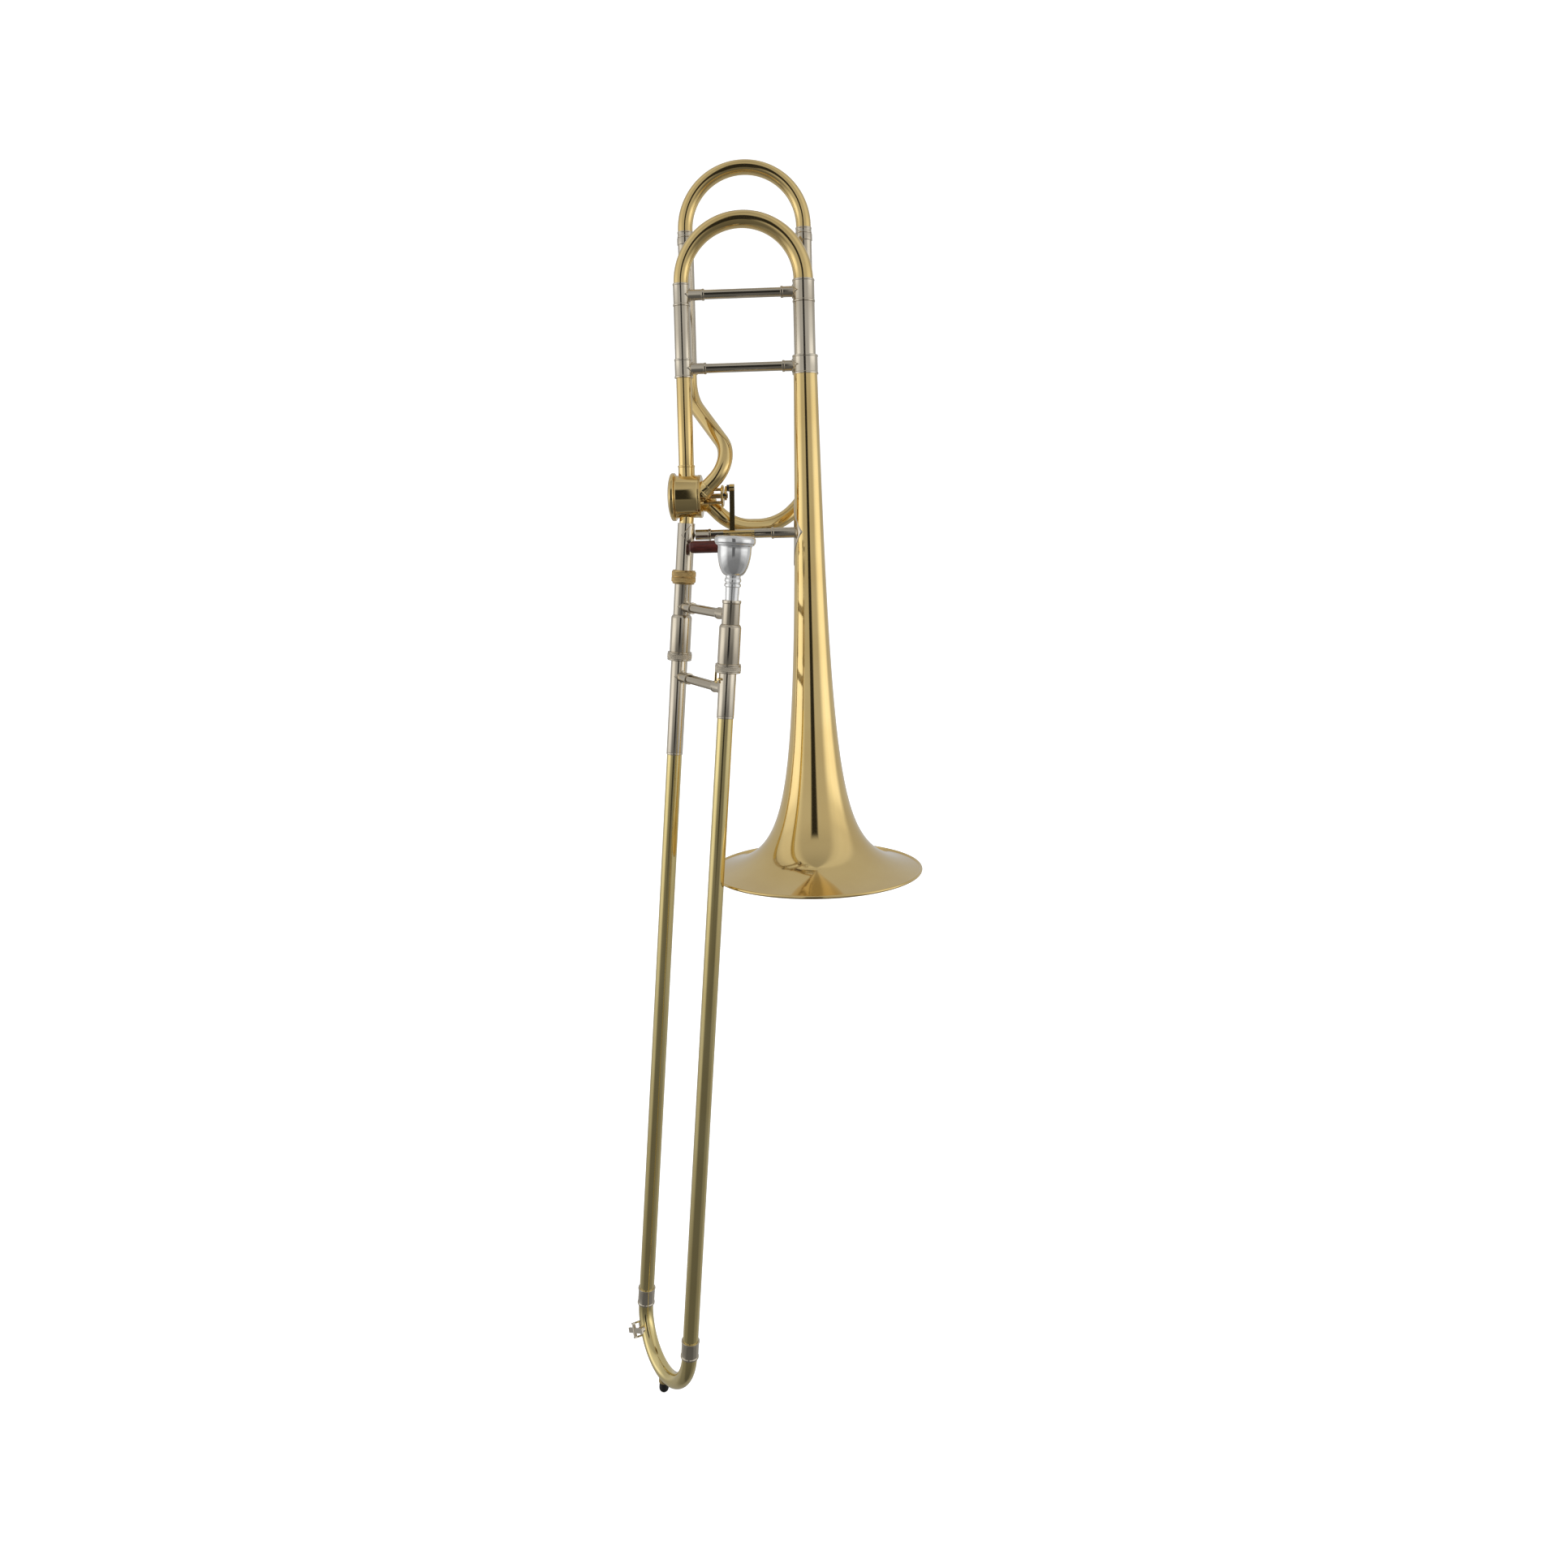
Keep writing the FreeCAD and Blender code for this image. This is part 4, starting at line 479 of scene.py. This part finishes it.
# %% Paths for bent tubes
def bent_path(points, share, arc_points=28):
    """Straight runs joined by tangent arcs; each arc starts a share of the shorter run from its corner."""
    points = np.asarray(points, float)
    path = [points[:1]]
    for before, corner, after in zip(points, points[1:], points[2:]):
        back, ahead = before - corner, after - corner
        reach = share * min(np.linalg.norm(back), np.linalg.norm(ahead))
        back, ahead = back / np.linalg.norm(back), ahead / np.linalg.norm(ahead)
        half_turn = (math.pi - math.acos(back @ ahead)) / 2
        radius = reach / math.tan(half_turn)
        centre = corner + (back + ahead) / np.linalg.norm(back + ahead) * radius / math.cos(half_turn)
        first = (corner + back * reach - centre) / radius
        second = -back - first * (-back @ first)
        turn = np.linspace(0, 2 * half_turn, arc_points)[:, None]
        path.append(centre + radius * (first * np.cos(turn) + second * np.sin(turn)))
    path.append(points[-1:])
    return np.concatenate(path)


def bow_path(spacing, stub, arc_points=96):
    """Up a stub, over a half circle and down a stub, between two legs; the circle's centre is at height 0."""
    turn = np.linspace(math.pi, 0, arc_points)
    half = spacing / 2
    arc = np.stack([half + half * np.cos(turn), 0 * turn, half * np.sin(turn)], axis=1)
    return np.concatenate([[(0, 0, -stub)], arc, [(spacing, 0, -stub)]])


SLANT = math.sqrt(0.5)
rise, fall = np.array([SLANT, 0, SLANT]), np.array([SLANT, 0, -SLANT])
near_port, far_port = np.array([13.4, -11.0, VALVE_Z]), np.array([13.4, 11.0, VALVE_Z])
LOOP_RADIUS, LOOP_WALL, LOOP_FOOT = 7.65, 0.5, 141.7


def loop_ring(port, heading):
    """The ferrule where a loop tube leaves the valve."""
    return spun(rounded(beaded(17.1, 15.3, 15.3, 9.0, 0.3, 1.3), 0.3),
                shift(*(port + heading * 4.0)) @ aim(heading, (0, 1, 0)), 56)


upper = bent_path([near_port + rise * 2.6, near_port + rise * 51.0, (0, LOOP_Y, 110.0), (0, LOOP_Y, LOOP_FOOT)], 0.6)
piece("loop_upper_bent_tube", [carried(upper, LOOP_RADIUS, LOOP_WALL, reference=(0.8, 0.6, 0)),
                               loop_ring(near_port, rise)], lacquered_brass, "valve_loop_upper_tube")
TURN_RADIUS = 55.0
side_run = 2 * TURN_RADIUS * math.tan(math.radians(22.5))
first_corner = far_port + fall * ((BELL_X - side_run * (1 + SLANT) - far_port[0]) / SLANT)
second_corner = np.array([first_corner[0] + side_run, (first_corner[1] + LOOP_Y) / 2, first_corner[2]])
third_corner = np.array([BELL_X, LOOP_Y, second_corner[2] + side_run * SLANT])
lower = bent_path([far_port + fall * 2.6, first_corner, second_corner, third_corner, (BELL_X, LOOP_Y, LOOP_FOOT)], 0.47)
piece("loop_lower_bent_tube", [carried(lower, LOOP_RADIUS, LOOP_WALL), loop_ring(far_port, fall)],
      lacquered_brass, "valve_loop_lower_tube")

# %% Loop's straight tubes, bow and stays
loop_tube = [(7.65, 0), (8.6, 0), (8.6, 1.6), (8.05, 2.0), (8.05, 131.7), (8.75, 131.9), (8.75, 138.7),
             (7.55, 138.7), (7.55, 7.2), (7.65, 7.2)]
piece("loop_outer_tubes", [spun(rounded(loop_tube, 0.3), shift(x, LOOP_Y, 134.7)) for x in (0, BELL_X)],
      nickel_silver, "valve_loop_outer_tubes")
piece("loop_inner_legs", [spun(rounded(tube(15.0, 14.1, 121.4), 0.2), shift(x, LOOP_Y, 155.4)) for x in (0, BELL_X)],
      nickel_silver, "valve_loop_legs")
piece("loop_bow", [carried(bow_path(BELL_X, 5.2), LOOP_RADIUS, LOOP_WALL, shift(0, LOOP_Y, 282.0))],
      lacquered_brass, "valve_loop_bow")
loop_collar = [(7.5, 0), (8.35, 0), (8.35, 1.4), (8.1, 1.8), (8.1, 4.4), (8.35, 4.8), (8.35, 6.0), (7.65, 6.0),
               (7.65, 3.0), (7.5, 3.0)]
piece("loop_ferrules", [spun(rounded(loop_collar, 0.25), shift(x, LOOP_Y, 273.8)) for x in (0, BELL_X)],
      nickel_silver, "valve_loop_ferrules")


def stay(start, end):
    """Profile of a solid rod that spreads into a small foot at each end."""
    return [(0, start), (4.6, start), (4.0, start + 1.2), (3.0, start + 2.6), (3.0, end - 2.6), (4.0, end - 1.2),
            (4.6, end), (0, end)]


piece("loop_stays", [spun(rounded(stay(start, 38.7), 0.5), shift(x, 0, 139.2) @ ALONG_Y, 40)
                     for x, start in ((0, 8.6), (BELL_X, 12.4))], nickel_silver, "valve_loop_stays")
piece("tuning_bow_bent", [carried(bow_path(BELL_X, 11.05), np.interp(np.arange(98), [1, 96], [7.5, 9.9]), 0.5,
                                  shift(0, 0, 217.3))], lacquered_brass, "tuning_bow")
piece("bow_ferrule_neck_side", [spun(rounded(beaded(16.4, 15.2, 15.0, 22.1), 0.3), shift(0, 0, 195.2))],
      nickel_silver, "tuning_bow_ferrule_neck")
piece("bow_ferrule_bell_side", [spun(rounded(beaded(21.6, 20.4, 19.8, 22.1), 0.3), shift(BELL_X, 0, 195.2))],
      nickel_silver, "tuning_bow_ferrule_bell")
piece("leg_neck_side", [spun(rounded(tube(15.2, 14.3, 65.4), 0.2), shift(0, 0, 140.8))], nickel_silver,
      "tuning_leg_neck")
piece("leg_bell_side", [spun(rounded(tube(20.4, 19.5, 65.4), 0.2), shift(BELL_X, 0, 140.8))], nickel_silver,
      "tuning_leg_bell")

# %% [markdown]
# ## Braces
# A brace is a rod between two sockets, and each socket is soldered to its tube through a diamond-shaped
# flange of thin sheet. The flange is a flat pattern wrapped on the tube: with s and t running from -1 to 1,
# the point is H s along the tube and y = W (1 - |s|) t across it, and it lies on the cylinder at
# x = sqrt(R^2 - y^2). A turned ring marks the end of every socket.

# %% Sockets, rods and flanges
EDGE_ROUND = 0.3


def wrapped_flange(radius_at, half_height, half_width, place, toward=1.0, sheet=0.8, steps=22):
    """A diamond of sheet on a tube whose radius may change with height; the edge turns down to the tube."""
    s = np.linspace(-1, 1, 2 * steps + 1)[:, None]
    s = s + 0.0001 * (np.abs(s) > 0.9999) * -np.sign(s)      # the two tips stay a hair wide
    t = np.linspace(-1, 1, 2 * steps + 1)[None, :]
    z = half_height * s + 0 * t
    y = half_width * (1 - np.abs(s)) * t
    radius = radius_at(z)
    to_edge = half_width * (1 - np.abs(s)) * (1 - np.abs(t))
    lift = sheet * np.sqrt(np.clip(to_edge / EDGE_ROUND, 0, 1))
    top = np.stack([toward * np.sqrt((radius + lift) ** 2 - y ** 2), y, z], axis=-1)
    under = np.stack([toward * np.sqrt((radius - 0.1) ** 2 - y ** 2), y, z], axis=-1)
    loop = np.concatenate([top, under[:, ::-1]], axis=1)
    return loop @ place[:3, :3].T + place[:3, 3], False


def socket(root, reach, toward=1):
    """Profile of a socket from inside its tube to its turned collar."""
    return [(0, toward * root), (5.4, toward * root), (5.4, toward * (reach - 2.6)), (5.9, toward * (reach - 2.2)),
            (5.9, toward * (reach - 0.3)), (5.5, toward * reach), (4.7, toward * reach), (0, toward * reach)]


def brace(name, node, span, radius_a, radius_b, place, finish):
    """Both sockets, the rod between them and both flanges."""
    along = place @ ALONG_X
    far = place @ shift(x=span)
    surfaces = [spun(rounded(socket(radius_a - 1.5, 23.0), 0.25), along, 48),
                spun(rounded(socket(radius_b - 1.5, 23.0, -1), 0.25), far @ ALONG_X, 48),
                spun([(0, 22.0), (4.7, 22.0), (4.7, span - 22.0), (0, span - 22.0)], along, 48),
                wrapped_flange(lambda z: radius_a + 0 * z, 7.0, radius_a * 0.9, place),
                wrapped_flange(lambda z: radius_b + 0 * z, 7.0, radius_b * 0.9, far, -1.0)]
    return piece(name, surfaces, finish, node)


brace("bow_brace", "tuning_slide_brace", BELL_X, 8.2, 10.8, shift(z=206.0), nickel_silver)
brace("upper_brace", "upper_bell_brace", BELL_X, 8.75, 12.57, shift(z=133.5), nickel_silver)
brace("hand_slide_upper_brace", "inner_slide_brace", SLIDE_SPACING, 8.8, 8.6, on_slide(0, 104.5), nickel_silver)
brace("hand_slide_lower_brace", "outer_slide_brace", SLIDE_SPACING, 8.35, 8.35, on_slide(0, 175.8), nickel_silver)

LOWER_BRACE = -32.0
bell_there = float(flare(LOWER_BRACE - RIM_LEVEL))
low = shift(z=LOWER_BRACE)
receiver_sheet = wrapped_flange(lambda z: 8.8 + 0 * z, 11.0, 8.8 * 0.9, SLIDE @ shift(z=LOWER_BRACE / -slide_down[2]))
socket_end = BELL_X - bell_there - 23.0
piece("lower_brace", [spun(rounded(socket(7.3, 23.0), 0.25), low @ ALONG_X, 48),
                      spun(rounded(socket(bell_there - 1.5, bell_there + 23.0, -1), 0.25), shift(BELL_X, 0, LOWER_BRACE)
                           @ ALONG_X, 48),
                      spun([(0, 22.0), (4.7, 22.0), (4.7, socket_end + 1), (0, socket_end + 1)], low @ ALONG_X, 48),
                      receiver_sheet,
                      wrapped_flange(lambda z: flare(z + LOWER_BRACE - RIM_LEVEL), 34.0, bell_there * 0.92,
                                     shift(BELL_X, 0, LOWER_BRACE), -1.0, 0.5)],
      nickel_silver, "lower_bell_brace")

# %% [markdown]
# ## The hand slide
# Everything below the nut leans with the hand slide. Its frame has X from tube to tube and Z up the tubes.
# The nut and the end rings are knurled: a pair of toothed wheels rolls a lattice of small diamonds into
# the band. The lattice is the product of two sine waves that wind opposite ways, sin(na + kz) sin(na - kz),
# added to the radius.

# %% Receiver, nut, tenon and barrels
KNURL_TEETH, KNURL_PITCH, KNURL_STEPS = 96, 4.2, 768


def knurl(low, high, teeth, pitch, depth):
    """Ripple for a turned piece: diamonds between two heights, fading out at both edges."""
    def ripple(radius, level, angle):
        inside = np.clip((level - low) / 0.25, 0, 1) * np.clip((high - level) / 0.25, 0, 1)
        wave = np.abs(np.sin(teeth * angle / 2 + level * pitch) * np.sin(teeth * angle / 2 - level * pitch))
        return -depth * inside * (1 - wave)
    return ripple


def band(outer, low, high, rows):
    """The rows of a profile along a straight band, close enough together to carry a knurl."""
    return [(outer, level) for level in np.linspace(low, high, rows)]


receiver = [(7.55, 0), (9.7, 0), (9.7, 7.6), (8.8, 7.6), (8.8, 55.4), (7.25, 55.4), (7.25, 48.4), (7.55, 48.4)]
piece("receiver_turned", [spun(rounded(receiver, 0.25), on_slide(0, 75.5))], nickel_silver, "slide_receiver")
nut = ([(8.85, 0), (10.6, 0), (11.2, 0.5), (11.2, 1.6), (11.5, 2.0), (12.3, 2.2)] + band(12.4, 2.6, 7.0, 27)
       + [(12.0, 7.2), (12.0, 7.7)] + band(12.4, 7.9, 12.4, 27)
       + [(12.3, 12.7), (11.6, 13.2), (11.4, 14.2), (9.75, 14.2), (9.75, 3), (8.85, 3)])


def nut_knurl(radius, level, angle):
    """Only the outer face is knurled, in two bands."""
    outside = radius > 12.35
    return outside * (knurl(2.6, 7.0, KNURL_TEETH, KNURL_PITCH, 0.4)(radius, level, angle)
                      + knurl(7.9, 12.4, KNURL_TEETH, KNURL_PITCH, 0.4)(radius, level, angle))


piece("nut_knurled", [spun(nut, on_slide(0, 81.7), KNURL_STEPS, nut_knurl)], FINISHES["knurled_brass"],
      "receiver_nut", sharp=80)
tenon = [(7.2, 0), (8.8, 0), (8.8, 34.6), (9.7, 34.6), (9.7, 37.2), (7.5, 37.2), (7.5, 84.9), (6.95, 84.9),
         (6.95, 20), (7.2, 20)]
piece("tenon_turned", [spun(rounded(tenon, 0.25), on_slide(0, 113.0))], nickel_silver, "slide_tenon")
barrel = [(8.8, 0), (9.8, 0), (9.8, 8), (10.6, 8), (10.6, 43.0), (9.9, 44.6), (8.9, 45.8), (7.2, 45.8), (7.2, 40.8),
          (8.8, 40.8)]
piece("cork_barrels_drawn", [spun(rounded(barrel, 0.6), on_slide(x, 158.8)) for x in (0, SLIDE_SPACING)],
      nickel_silver, "cork_barrels")


def end_ring(bore):
    """Profile of a knurled end ring with a plain lip above and below."""
    return ([(bore, 0), (11.9, 0), (12.4, 0.4), (12.4, 1.2), (12.0, 1.5), (12.0, 1.8), (12.5, 2.0)]
            + band(12.6, 2.3, 6.4, 25)
            + [(12.5, 6.7), (12.0, 6.9), (12.0, 7.2), (12.4, 7.5), (12.4, 8.3), (11.9, 8.7), (bore, 8.7)])


def ring_knurl(radius, level, angle):
    """Diamonds on the middle of the ring only."""
    return (radius > 12.55) * knurl(2.3, 6.4, KNURL_TEETH, KNURL_PITCH, 0.35)(radius, level, angle)


piece("end_ring_knurled", [spun(end_ring(9.8), on_slide(0, 159.5), KNURL_STEPS, ring_knurl)], nickel_silver,
      "barrel_end_ring", sharp=80)
HOOK_RADIUS = 11.3
bar_angle = math.radians(-122.0)
bar_path = [(HOOK_RADIUS * math.cos(bar_angle), HOOK_RADIUS * math.sin(bar_angle), z)
            for z in np.linspace(0.9, -9.4, 30)]
foot_path = [(HOOK_RADIUS * math.cos(a), HOOK_RADIUS * math.sin(a), -9.1)
             for a in np.radians(np.linspace(-128.5, -96.5, 40))]
piece("lock_ring_knurled", [spun(end_ring(9.85), on_slide(SLIDE_SPACING, 159.5), KNURL_STEPS, ring_knurl)],
      nickel_silver, "slide_lock_ring", sharp=80)
piece("lock_hook", [box_section(bar_path, 2.6, 2.2, on_slide(SLIDE_SPACING, 159.5),
                                (-math.sin(bar_angle), math.cos(bar_angle), 0)),
                    box_section(foot_path, 2.4, 2.1, on_slide(SLIDE_SPACING, 159.5), (0, 0, 1))],
      lacquered_brass, body="slide_lock")

# %% Inner and outer tubes, sleeves, crook
inner = [(6.95, 0), (7.05, 0), (7.35, 1), (7.35, 130), (7.2, 132)]
for node, x, top in (("inner_tube_receiver_side", 0, 93.0), ("inner_tube_mouthpiece_side", SLIDE_SPACING, 112.0)):
    length = 834.6 - top
    piece(node + "_drawn", [spun(rounded(inner + [(7.2, length), (6.95, length)], 0.2), on_slide(x, 834.6), 64)],
          chrome_plate, node)
piece("mouthpiece_socket", [spun(rounded([(7.2, 0), (8.6, 0), (8.6, 19.8), (9.2, 20.2), (9.2, 22.8), (6.4, 22.8),
                                          (5.85, 1.0), (7.2, 1.0)], 0.25), on_slide(SLIDE_SPACING, 113.0))],
      nickel_silver, "mouthpiece_receiver")
outer_length = 847.4 - 122.9
piece("outer_tubes_drawn", [spun(tube(15.5, 14.8, outer_length), on_slide(x, 847.4), 80)
                            for x in (0, SLIDE_SPACING)], slide_brass, "outer_slide_tubes")
sleeve_ring = [(7.75, 0), (8.15, 0), (8.35, 0.4), (8.35, 1.6), (8.2, 1.9), (8.2, 2.2), (8.35, 2.5)]
piece("outer_sleeves_drawn", [spun(rounded(sleeve_ring + [(8.35, length), (7.75, length)], 0.2),
                                   on_slide(x, 159.9 + length), 80)
                              for x, length in ((0, 97.0), (SLIDE_SPACING, 43.5))], nickel_silver,
      "outer_slide_sleeves")
turned_over = np.diag([1.0, 1.0, -1.0, 1.0])
piece("crook_bent", [carried(bow_path(SLIDE_SPACING, 8.8), 7.75, 0.5, on_slide(0, 856.2) @ turned_over)],
      slide_brass, "slide_crook")
crook_ring = [(7.75, 0), (9.25, 0), (9.25, 1.6), (8.75, 2.1), (8.75, 15.5), (9.25, 16.0), (9.25, 17.6), (7.75, 17.6)]
piece("crook_rings_turned", [spun(rounded(crook_ring, 0.3), on_slide(x, 856.2)) for x in (0, SLIDE_SPACING)],
      nickel_silver, "crook_ferrules")
tip = [(0, 0), (3.0, 0), (3.9, 0.5), (4.6, 1.5), (5, 3.15), (5, 10.5), (0, 10.5)]
piece("rubber_tip", [spun(rounded(tip, 0.5), on_slide(SLIDE_SPACING / 2, 924.95), 48)], rubber, "slide_bumper")

# %% [markdown]
# ## The mouthpiece
# A mouthpiece is turned from one bar and silver plated. Its outline matters, because the plating shows
# every change of slope: a straight taper in the socket, two small turned rings, the bowl of the cup, and
# the broad rounded rim. The bowl follows a quarter of an ellipse, and the rim a half circle.

# %% Mouthpiece
shank = [(4.9, 0), (5.8, 0), (6.35, 21.0), (6.85, 33.5), (8.05, 34.3), (8.05, 36.3), (7.05, 37.3), (7.2, 38.2),
         (8.05, 38.9), (8.05, 41.0), (7.15, 42.6), (7.3, 44.4)]
swell = np.linspace(0.0, 1.0, 26)[1:]
bowl = [(7.3 + 8.9 * math.sin(math.pi / 2 * t) ** 0.9, 44.4 + 25.6 * (1 - math.cos(math.pi / 2 * t)) ** 0.85)
        for t in swell]
rim = [(16.2, 71.0), (16.5, 72.6), (18.6, 73.6)]
edge = [(17.9 + 1.8 * math.sin(a), 76.6 - 2.4 * math.cos(a)) for a in np.linspace(0.5, math.pi / 2, 8)]
lip = [(16.2 + 3.5 * math.cos(a), 78.6 + 3.4 * math.sin(a)) for a in np.linspace(0.0, math.pi * 0.82, 20)]
cup = [(12.8 * math.cos(a) ** 0.7 + 3.5 * (1 - math.cos(a) ** 0.7), 78.5 - 24.0 * math.sin(a))
       for a in np.linspace(0.05, math.pi / 2, 22)]
bore = [(3.5, 50.0), (4.9, 2.0)]
piece("mouthpiece_turned", [spun(shank + bowl + rim + edge + lip + cup + bore, on_slide(SLIDE_SPACING, 111.2), 128)],
      silver_plate, "mouthpiece", sharp=25)

# %% [markdown]
# ## The studio
# Polished metal shows the room more than itself, so the room is the real light here. It is drawn as a
# picture on the sky around the object: a grey room in front with a narrow dark gap where the camera
# stands, two tall bright panels at the sides, a softer grey behind, and a floor that is darker than the
# walls. Every round tube then shows the same thing: a thin dark line down its middle, soft grey on both
# sides of it, a bright band towards each edge, and a calm edge. A studio builds this with tents and
# panels; a picture on the sky does it with no noise and no lamp in view. The same picture is repeated
# behind, so the instrument looks as good from the back.

# %% The room, drawn on the sky
world = bpy.data.worlds.new("studio_room")
bpy.context.scene.world = world
world.use_nodes = True
world.node_tree.nodes.clear()


def ramp(source, stops):
    """A grey ramp: stops are (position, value) pairs, eased from one to the next."""
    node = add(world, "ValToRGB", Fac=source)
    node.color_ramp.interpolation = "EASE"
    elements = node.color_ramp.elements
    while len(elements) < len(stops):
        elements.new(0.5)
    for element, (position, value) in zip(elements, stops):
        element.position = position
        element.color = (value, value, value, 1.0)
    return node.outputs["Color"]


def maths(operation, first, second=0.0):
    """One step of arithmetic on two sockets or numbers."""
    node = add(world, "Math", {"operation": operation})
    for socket, value in zip(node.inputs, (first, second)):
        if isinstance(value, bpy.types.NodeSocket):
            world.node_tree.links.new(value, socket)
        else:
            socket.default_value = value
    return node.outputs["Value"]


def blend(factor, low, high):
    """Low where the factor is 0, high where it is 1."""
    return maths("ADD", maths("MULTIPLY", low, maths("SUBTRACT", 1.0, factor)), maths("MULTIPLY", high, factor))


sky = add(world, "SeparateXYZ", Vector=add(world, "TexCoord").outputs["Generated"])
across, depth, height = (sky.outputs[axis] for axis in "XYZ")
# the angle round from straight ahead or straight behind, 0 to 90 degrees, as 0 to 1
side_angle = maths("MULTIPLY", maths("ARCTAN2", maths("ABSOLUTE", across), maths("ABSOLUTE", depth)), 2 / math.pi)
is_behind = maths("GREATER_THAN", depth, 0.0)
# the angle up from straight down, 0 to 180 degrees, as 0 to 1
rise_angle = maths("ADD", maths("MULTIPLY", maths("ARCSINE", height), 1 / math.pi), 0.5)

front_wall = ramp(rise_angle, [(0.0, 0.06), (0.36, 0.09), (0.42, 0.15), (0.46, 0.27), (0.49, 0.38), (0.60, 0.40),
                               (0.74, 0.34), (1.0, 0.25)])
back_wall = ramp(rise_angle, [(0.0, 0.20), (0.36, 0.28), (0.45, 0.40), (0.55, 0.36), (1.0, 0.38)])
panel_glow = ramp(rise_angle, [(0.0, 0.12), (0.33, 0.17), (0.39, 0.40), (0.44, 0.72), (0.48, 1.0), (0.52, 0.95),
                               (0.57, 0.66), (0.64, 0.54), (1.0, 0.45)])
panel_front = ramp(side_angle, [(0.42, 0.0), (0.70, 0.85), (0.82, 1.0), (1.0, 0.92)])
panel_back = ramp(side_angle, [(0.74, 0.0), (0.98, 0.92)])
panel_place = blend(is_behind, panel_front, panel_back)
side_gap = ramp(side_angle, [(0.055, 0.0), (0.12, 1.0)])
left_gap = ramp(side_angle, [(0.10, 0.0), (0.16, 1.0)])
gap_across = blend(maths("GREATER_THAN", across, 0.0), left_gap, side_gap)
gap_height = ramp(rise_angle, [(0.385, 1.0), (0.43, 0.0), (0.68, 0.0), (0.73, 1.0)])
gap = maths("MAXIMUM", maths("MAXIMUM", gap_across, gap_height), is_behind)
walls = blend(is_behind, front_wall, back_wall)
room = maths("ADD", maths("MULTIPLY", blend(panel_place, walls, panel_glow), gap), 0.02)

ROOM_LIGHT = 1.28
room_background = add(world, "Background", {"Strength": ROOM_LIGHT}, Color=room)
plain_white = add(world, "Background", {"Color": linear("#ffffff"), "Strength": 1.0})
seen_directly = add(world, "LightPath").outputs["Is Camera Ray"]
choose = add(world, "MixShader", Fac=seen_directly)
world.node_tree.links.new(room_background.outputs[0], choose.inputs[1])
world.node_tree.links.new(plain_white.outputs[0], choose.inputs[2])
world_output = add(world, "OutputWorld")
world.node_tree.links.new(choose.outputs[0], world_output.inputs["Surface"])
print("room drawn with", len(world.node_tree.nodes), "nodes")

# %% [markdown]
# ## Floor and backdrop
# A plain pale sheet lies on the floor and bends up behind the instrument. Studio backgrounds have lamps of
# their own, which is why they come out white; here the paper glows a little instead. It is hidden from the
# metal, because the room above is what the metal should show.

# %% Floor and backdrop
def sweep_backdrop(half_width, front, back, floor_level, height, bend):
    """A sheet lying on the floor that bends up through a quarter circle: a profile carried along X."""
    angles = np.linspace(0, math.pi / 2, 24)
    bend_y = back - bend + bend * np.sin(angles)
    bend_z = floor_level + bend - bend * np.cos(angles)
    profile_y = np.concatenate([[front], bend_y, [back]])
    profile_z = np.concatenate([[floor_level], bend_z, [height]])
    columns = np.array([-half_width, half_width])
    grid = np.zeros((len(profile_y), 2, 3))
    grid[..., 0] = columns
    grid[..., 1] = profile_y[:, None]
    grid[..., 2] = profile_z[:, None]
    rows = np.arange(len(profile_y) - 1)[:, None] * 2
    faces = rows + np.array([[0, 1, 3, 2]])
    mesh = bpy.data.meshes.new("studio_sweep")
    mesh.from_pydata(grid.reshape(-1, 3).tolist(), [], faces.tolist())
    mesh.shade_smooth()
    sweep = bpy.data.objects.new("studio_sweep", mesh)
    bpy.context.scene.collection.objects.link(sweep)
    return sweep


paper = blank("white studio paper")
finish_surface(paper, add(paper, "BsdfPrincipled", {"Base Color": linear("#f4f4f4"), "Roughness": 0.9,
                                                    "Emission Color": linear("#ffffff"),
                                                    "Emission Strength": 0.75}))
floor = sweep_backdrop(4.0, -4.0, 2.2, cad_low[2] - 0.002, 3.2, 0.9)
floor.data.materials.append(paper)
floor.visible_glossy = False
floor.visible_shadow = False
floor.visible_diffuse = False

# %% Lights
def soft_light(name, place, aim, size, power):
    """A rectangular area light at place, facing aim, for what is not metal."""
    data = bpy.data.lights.new(name, "AREA")
    data.shape = "RECTANGLE"
    data.size, data.size_y = size
    data.energy = power
    lamp = bpy.data.objects.new(name, data)
    lamp.location = place
    lamp.rotation_euler = (Vector(aim) - Vector(place)).to_track_quat("-Z", "Y").to_euler()
    lamp.visible_glossy = False
    bpy.context.scene.collection.objects.link(lamp)
    return lamp


middle = (Vector(cad_low) + Vector(cad_high)) / 2
soft_light("front_softbox", (-1.2, -2.0, 1.2), middle, (1.6, 1.6), 18)
soft_light("back_softbox", (1.4, 2.0, 1.2), middle, (1.6, 1.6), 12)
bpy.context.scene.view_settings.view_transform = "Standard"
